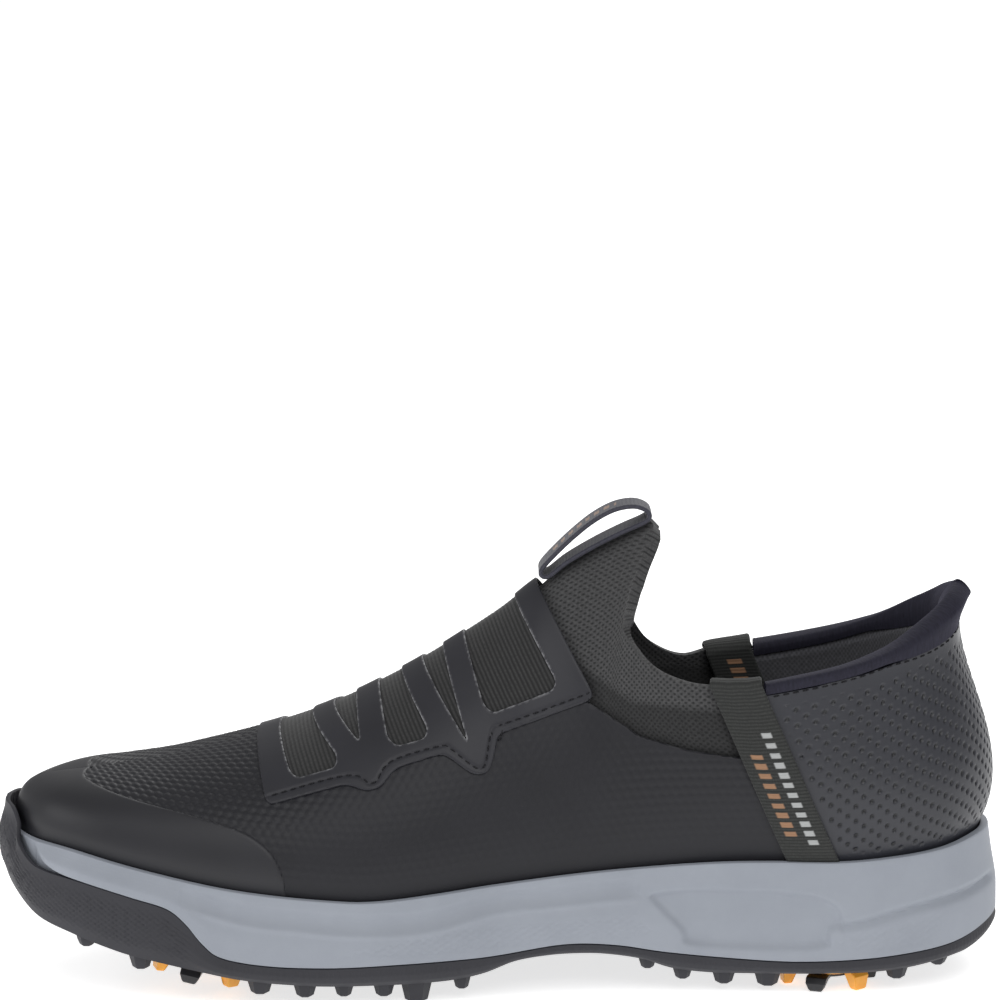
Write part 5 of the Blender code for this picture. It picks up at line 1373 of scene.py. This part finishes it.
def stud(build, x, y, height, width):
    """A six-sided tapered stud, its root sunk 1 mm into the plate and its tip chamfered."""
    root = float(bottom_z(x))
    rings = [(0.62, root + 1.0), (0.56, root - 0.2 * height), (0.42, root - height + 0.45), (0.30, root - height)]
    rows = []
    for share, level in rings:
        row = []
        for turn in np.arange(6) * math.pi / 3:
            place = (x + math.cos(turn) * share * width, y + math.sin(turn) * share * width, level)
            row.append(build.verts.new(Vector(place) * MM))
        rows.append(row)
    build.faces.new(rows[0])
    build.faces.new(rows[-1][::-1])
    for upper, lower in zip(rows[:-1], rows[1:]):
        for a in range(6):
            b = (a + 1) % 6
            build.faces.new((upper[a], lower[a], lower[b], upper[b]))


def as_object(name, build):
    bmesh.ops.recalc_face_normals(build, faces=build.faces)
    mesh = bpy.data.meshes.new(name)
    build.to_mesh(mesh)
    build.free()
    return bpy.data.objects.new(name + "_detail", mesh)


def combine(obj, tools, sharp=35):
    """The object with each (tool, operation) applied to it, as one new mesh."""
    helpers = [tool for tool, _ in tools]
    for helper in [obj] + helpers:
        scene.collection.objects.link(helper)
    for tool, operation in tools:
        modifier = obj.modifiers.new(tool.name, "BOOLEAN")
        modifier.object = tool
        modifier.operation = operation
        modifier.solver = "MANIFOLD"
    bpy.context.view_layer.update()
    made = bpy.data.meshes.new_from_object(obj.evaluated_get(bpy.context.evaluated_depsgraph_get()))
    obj.modifiers.clear()
    obj.data = made
    made.materials.clear()
    made.shade_smooth()
    made.set_sharp_from_angle(angle=math.radians(sharp))
    scene.collection.objects.unlink(obj)
    for helper in helpers:
        bpy.data.objects.remove(helper, do_unlink=True)
    return obj


build = bmesh.new()
for side in SIDES:
    dense, out = side_points(side, np.linspace(0, 1, 801))
    for x, height, width in EDGE_STUDS:
        i = int(np.argmin(np.abs(dense[:, 0] - x)))
        spot = dense[i] - out[i] * (width * 0.62 + 2.4)
        near = [math.hypot(spot[0] - cx, spot[1] - cy) for _, cx, cy, _ in CLEATS]
        if x == GROUND_STUD_X:
            height = float(bottom_z(spot[0]))
        if min(near) > CLEAT_RADIUS + 6.5:
            stud(build, spot[0], spot[1], height, width)
for x, y, height, width in INNER_STUDS:
    stud(build, x, y, height, width)
studs = as_object("studs", build)


def cleat_frame(x, y):
    """Where a cleat sits: its Z axis is square to the sole's bottom there."""
    slope = float(bottom_z(x + 8) - bottom_z(x - 8)) / 16
    axis = Vector((-slope, 0, 1)).normalized()
    sideways = Vector((0, 1, 0))
    turn = Matrix((sideways.cross(axis), sideways, axis)).transposed().to_4x4()
    return Matrix.Translation(Vector((x, y, float(bottom_z(x)))) * MM) @ turn


SOCKET_RADIUS, SOCKET_HEIGHT = 9.0, 6.0


def turned(build, profile, at, sides=48):
    """A turned solid from its (radius, height) profile, top first, both ends closed."""
    rows = []
    for radius, level in profile:
        row = [build.verts.new(at @ (Vector((radius * math.cos(a), radius * math.sin(a), level)) * MM))
               for a in np.linspace(0, 2 * math.pi, sides, endpoint=False)]
        rows.append(row)
    build.faces.new(rows[0])
    build.faces.new(rows[-1][::-1])
    for upper, lower in zip(rows[:-1], rows[1:]):
        for a in range(sides):
            b = (a + 1) % sides
            build.faces.new((upper[a], lower[a], lower[b], upper[b]))


build = bmesh.new()
for _, x, y, _ in CLEATS:
    radius = SOCKET_RADIUS + GAP
    turned(build, [(radius, SOCKET_HEIGHT + GAP), (radius, -8.0)], cleat_frame(x, y))
holes = as_object("socket_holes", build)
second = as_object("socket_holes_again", bmesh.new())
second.data = holes.data.copy()
combine(outsole, [(studs, "UNION"), (holes, "DIFFERENCE")])
combine(midsole, [(second, "DIFFERENCE")])
set_up(outsole, [moulded_rubber], replaces=["outsole"], slot="rubber")
set_up(midsole, [moulded_eva], replaces=["midsole"], slot="eva_foam")

# Receptacles: glass-filled nylon sockets moulded into the sole, which take the cleats' stems.
moulded_nylon, tree, shader = new_finish("moulded_nylon", Roughness=0.42, IOR=1.53)
place = add(tree, "TexCoord")
flow = add(tree, "TexNoise", {"Vector": place.outputs["Object"], "Scale": 700.0, "Detail": 4.0, "Distortion": 0.8})
tone = add(tree, "Mix", {0: flow.outputs["Fac"], 6: linear("#141416"), 7: linear("#26262a")}, data_type="RGBA")
bump = add(tree, "Bump", {"Height": flow.outputs["Fac"], "Strength": 0.2, "Distance": 0.05 * MM})
tree.links.new(tone.outputs[2], shader.inputs["Base Color"])
tree.links.new(bump.outputs[0], shader.inputs["Normal"])
for name, *_ in CLEATS:
    dress(f"receptacle_{name}", moulded_nylon)

# Cleats: a black nylon disc with a stem and three legs, and an orange thermoplastic polyurethane
# claw of three more legs snapped over it. Each screws in by a sixth of a turn.
CLEAT_HEIGHT = 6.18
DISC_RADIUS, STEM_RADIUS, CLAW_RING_RADIUS = 8.2, 3.8, 11.0
DISC_TOP, DISC_LOW = -0.3, -3.0
CLAW_TOP, CLAW_LOW = -0.4, -1.4
BORE_TOP = 4.8
CHAMFER = 0.3

# Orange urethane: saturated and slightly translucent, so its thin edges glow; soft gloss.
orange_urethane, tree, shader = new_finish(
    "moulded_orange_urethane", Roughness=0.38, IOR=1.5, Subsurface_Weight=0.12, Subsurface_Scale=0.002)
place = add(tree, "TexCoord")
flow = add(tree, "TexNoise", {"Vector": place.outputs["Object"], "Scale": 260.0, "Detail": 5.0})
tone = add(tree, "Mix", {0: flow.outputs["Fac"], 6: linear("#ec9c28"), 7: linear("#ffbb4d")}, data_type="RGBA")
bump = add(tree, "Bump", {"Height": flow.outputs["Fac"], "Strength": 0.15, "Distance": 0.08 * MM})
tree.links.new(tone.outputs[2], shader.inputs["Base Color"])
tree.links.new(bump.outputs[0], shader.inputs["Normal"])


def leg(build, angle, root_radius, root_low, root_high, drop, at):
    """One leg: out from the hub, then down to a narrow tip on the leg circle, its edges chamfered."""
    r = CLEAT_RADIUS
    profile = [(root_radius, root_high), (r - 1.2, root_high), (r + 0.4, root_high - 0.35), (r + 1.3, root_low - 0.6),
               (r + 1.1, drop + 0.4), (r + 0.7, drop), (r - 1.3, drop), (r - 1.6, drop + 0.4),
               (r - 3.4, root_low), (root_radius, root_low)]
    widths = [2.9, 3.2, 3.1, 3.0, 2.2, 1.9, 1.9, 2.2, 2.9, 2.9]
    turn = at @ Matrix.Rotation(math.radians(angle), 4, "Z")
    middle = np.mean(profile, axis=0)
    rims = []
    for hand, shrink in ((-1, CHAMFER), (-1, 0), (1, 0), (1, CHAMFER)):
        ring = []
        for (radius, z), width in zip(profile, widths):
            pull = (middle - np.array([radius, z])) / np.linalg.norm(middle - np.array([radius, z])) * shrink
            side = hand * (width - (0 if shrink else CHAMFER))
            ring.append(build.verts.new(turn @ (Vector((radius + pull[0], side, z + pull[1])) * MM)))
        rims.append(ring)
    n = len(profile)
    build.faces.new(rims[0])
    build.faces.new(rims[-1][::-1])
    for first, next_ring in zip(rims[:-1], rims[1:]):
        for i in range(n):
            j = (i + 1) % n
            build.faces.new((first[j], first[i], next_ring[i], next_ring[j]))


def one(name, make):
    build = bmesh.new()
    make(build)
    return as_object(name, build)


def chamfered(radius, high, low):
    return [(radius - CHAMFER, high), (radius, high - CHAMFER), (radius, low + CHAMFER), (radius - CHAMFER, low)]


for name, x, y, turn in CLEATS:
    at = cleat_frame(x, y)
    base = one(f"cleat_base_{name}", lambda build: turned(build, chamfered(DISC_RADIUS, DISC_TOP, DISC_LOW), at))
    tools = [(one(f"stem_{name}", lambda build: turned(
        build, chamfered(STEM_RADIUS, BORE_TOP - GAP, -1.5), at)), "UNION")]
    for i in range(3):
        tools.append((one(f"black_leg_{name}_{i}", lambda build: leg(
            build, turn + 120 * i, 6.0, DISC_LOW, -1.7, 0.2 - CLEAT_HEIGHT, at)), "UNION"))
    key = one(f"key_{name}", lambda build: turned(build, [(2.1, -2.0), (2.1, -3.6)], at, 3))
    tools.append((key, "DIFFERENCE"))
    combine(base, tools)
    set_up(base, [moulded_nylon], body=f"cleat_{name}", replaces=[f"cleat_base_{name}"], slot="black_nylon")
    claw = one(f"cleat_claw_{name}", lambda build: turned(build, chamfered(CLAW_RING_RADIUS, CLAW_TOP, CLAW_LOW), at))
    tools = [(one(f"orange_leg_{name}_{i}", lambda build: leg(
        build, turn + 60 + 120 * i, 9.6, CLAW_LOW, CLAW_TOP, -CLEAT_HEIGHT, at)), "UNION") for i in range(3)]
    tools.append((one(f"claw_hole_{name}", lambda build: turned(
        build, [(DISC_RADIUS + GAP, 2.0), (DISC_RADIUS + GAP, -9.0)], at)), "DIFFERENCE"))
    combine(claw, tools)
    set_up(claw, [orange_urethane], body=f"cleat_{name}", replaces=[f"cleat_claw_{name}"], slot="orange_tpu")

# Studio: a pale matt floor that runs out to white, a large soft light over the shoe's near side, a
# second from the toe, and a strip behind that draws its top edges.
FLOOR_HALF = 12.0
floor_paint, tree, shader = new_finish(
    "matt_white_paint", Roughness=0.9, Specular_IOR_Level=0.2, Emission_Color=(1, 1, 1, 1), Emission_Strength=0.7)
place = add(tree, "TexCoord")
roller = add(tree, "TexNoise", {"Vector": place.outputs["Object"], "Scale": 160.0, "Detail": 3.0})
tone = add(tree, "Mix", {0: roller.outputs["Fac"], 6: linear("#f4f4f4"), 7: linear("#f8f8f8")}, data_type="RGBA")
tree.links.new(tone.outputs[2], shader.inputs["Base Color"])
corners = [(-FLOOR_HALF, -FLOOR_HALF), (FLOOR_HALF, -FLOOR_HALF), (FLOOR_HALF, FLOOR_HALF), (-FLOOR_HALF, FLOOR_HALF)]
mesh = bpy.data.meshes.new("floor")
mesh.from_pydata([(x, y, 0) for x, y in corners], [], [(0, 1, 2, 3)])
mesh.materials.append(floor_paint)
floor = bpy.data.objects.new("floor", mesh)
scene.collection.objects.link(floor)


def soft_light(name, place, size, power):
    """A square soft box aimed at the shoe's middle."""
    box = bpy.data.lights.new(name, "AREA")
    box.size = size
    box.energy = power
    lamp = bpy.data.objects.new(name, box)
    lamp.location = place
    lamp.rotation_euler = (Vector((0, 0, 0.06)) - Vector(place)).to_track_quat("-Z", "Y").to_euler()
    scene.collection.objects.link(lamp)


soft_light("near_box", (0.3, -1.3, 1.5), 1.2, 13)
soft_light("toe_box", (-1.5, -0.5, 0.9), 0.9, 6)
soft_light("back_strip", (0.4, 1.3, 1.1), 0.9, 9)
world = bpy.data.worlds.new("white_room")
world.use_nodes = True
world.node_tree.nodes["Background"].inputs["Color"].default_value = (1, 1, 1, 1)
world.node_tree.nodes["Background"].inputs["Strength"].default_value = 0.4
scene.world = world
scene.view_settings.view_transform = "Standard"
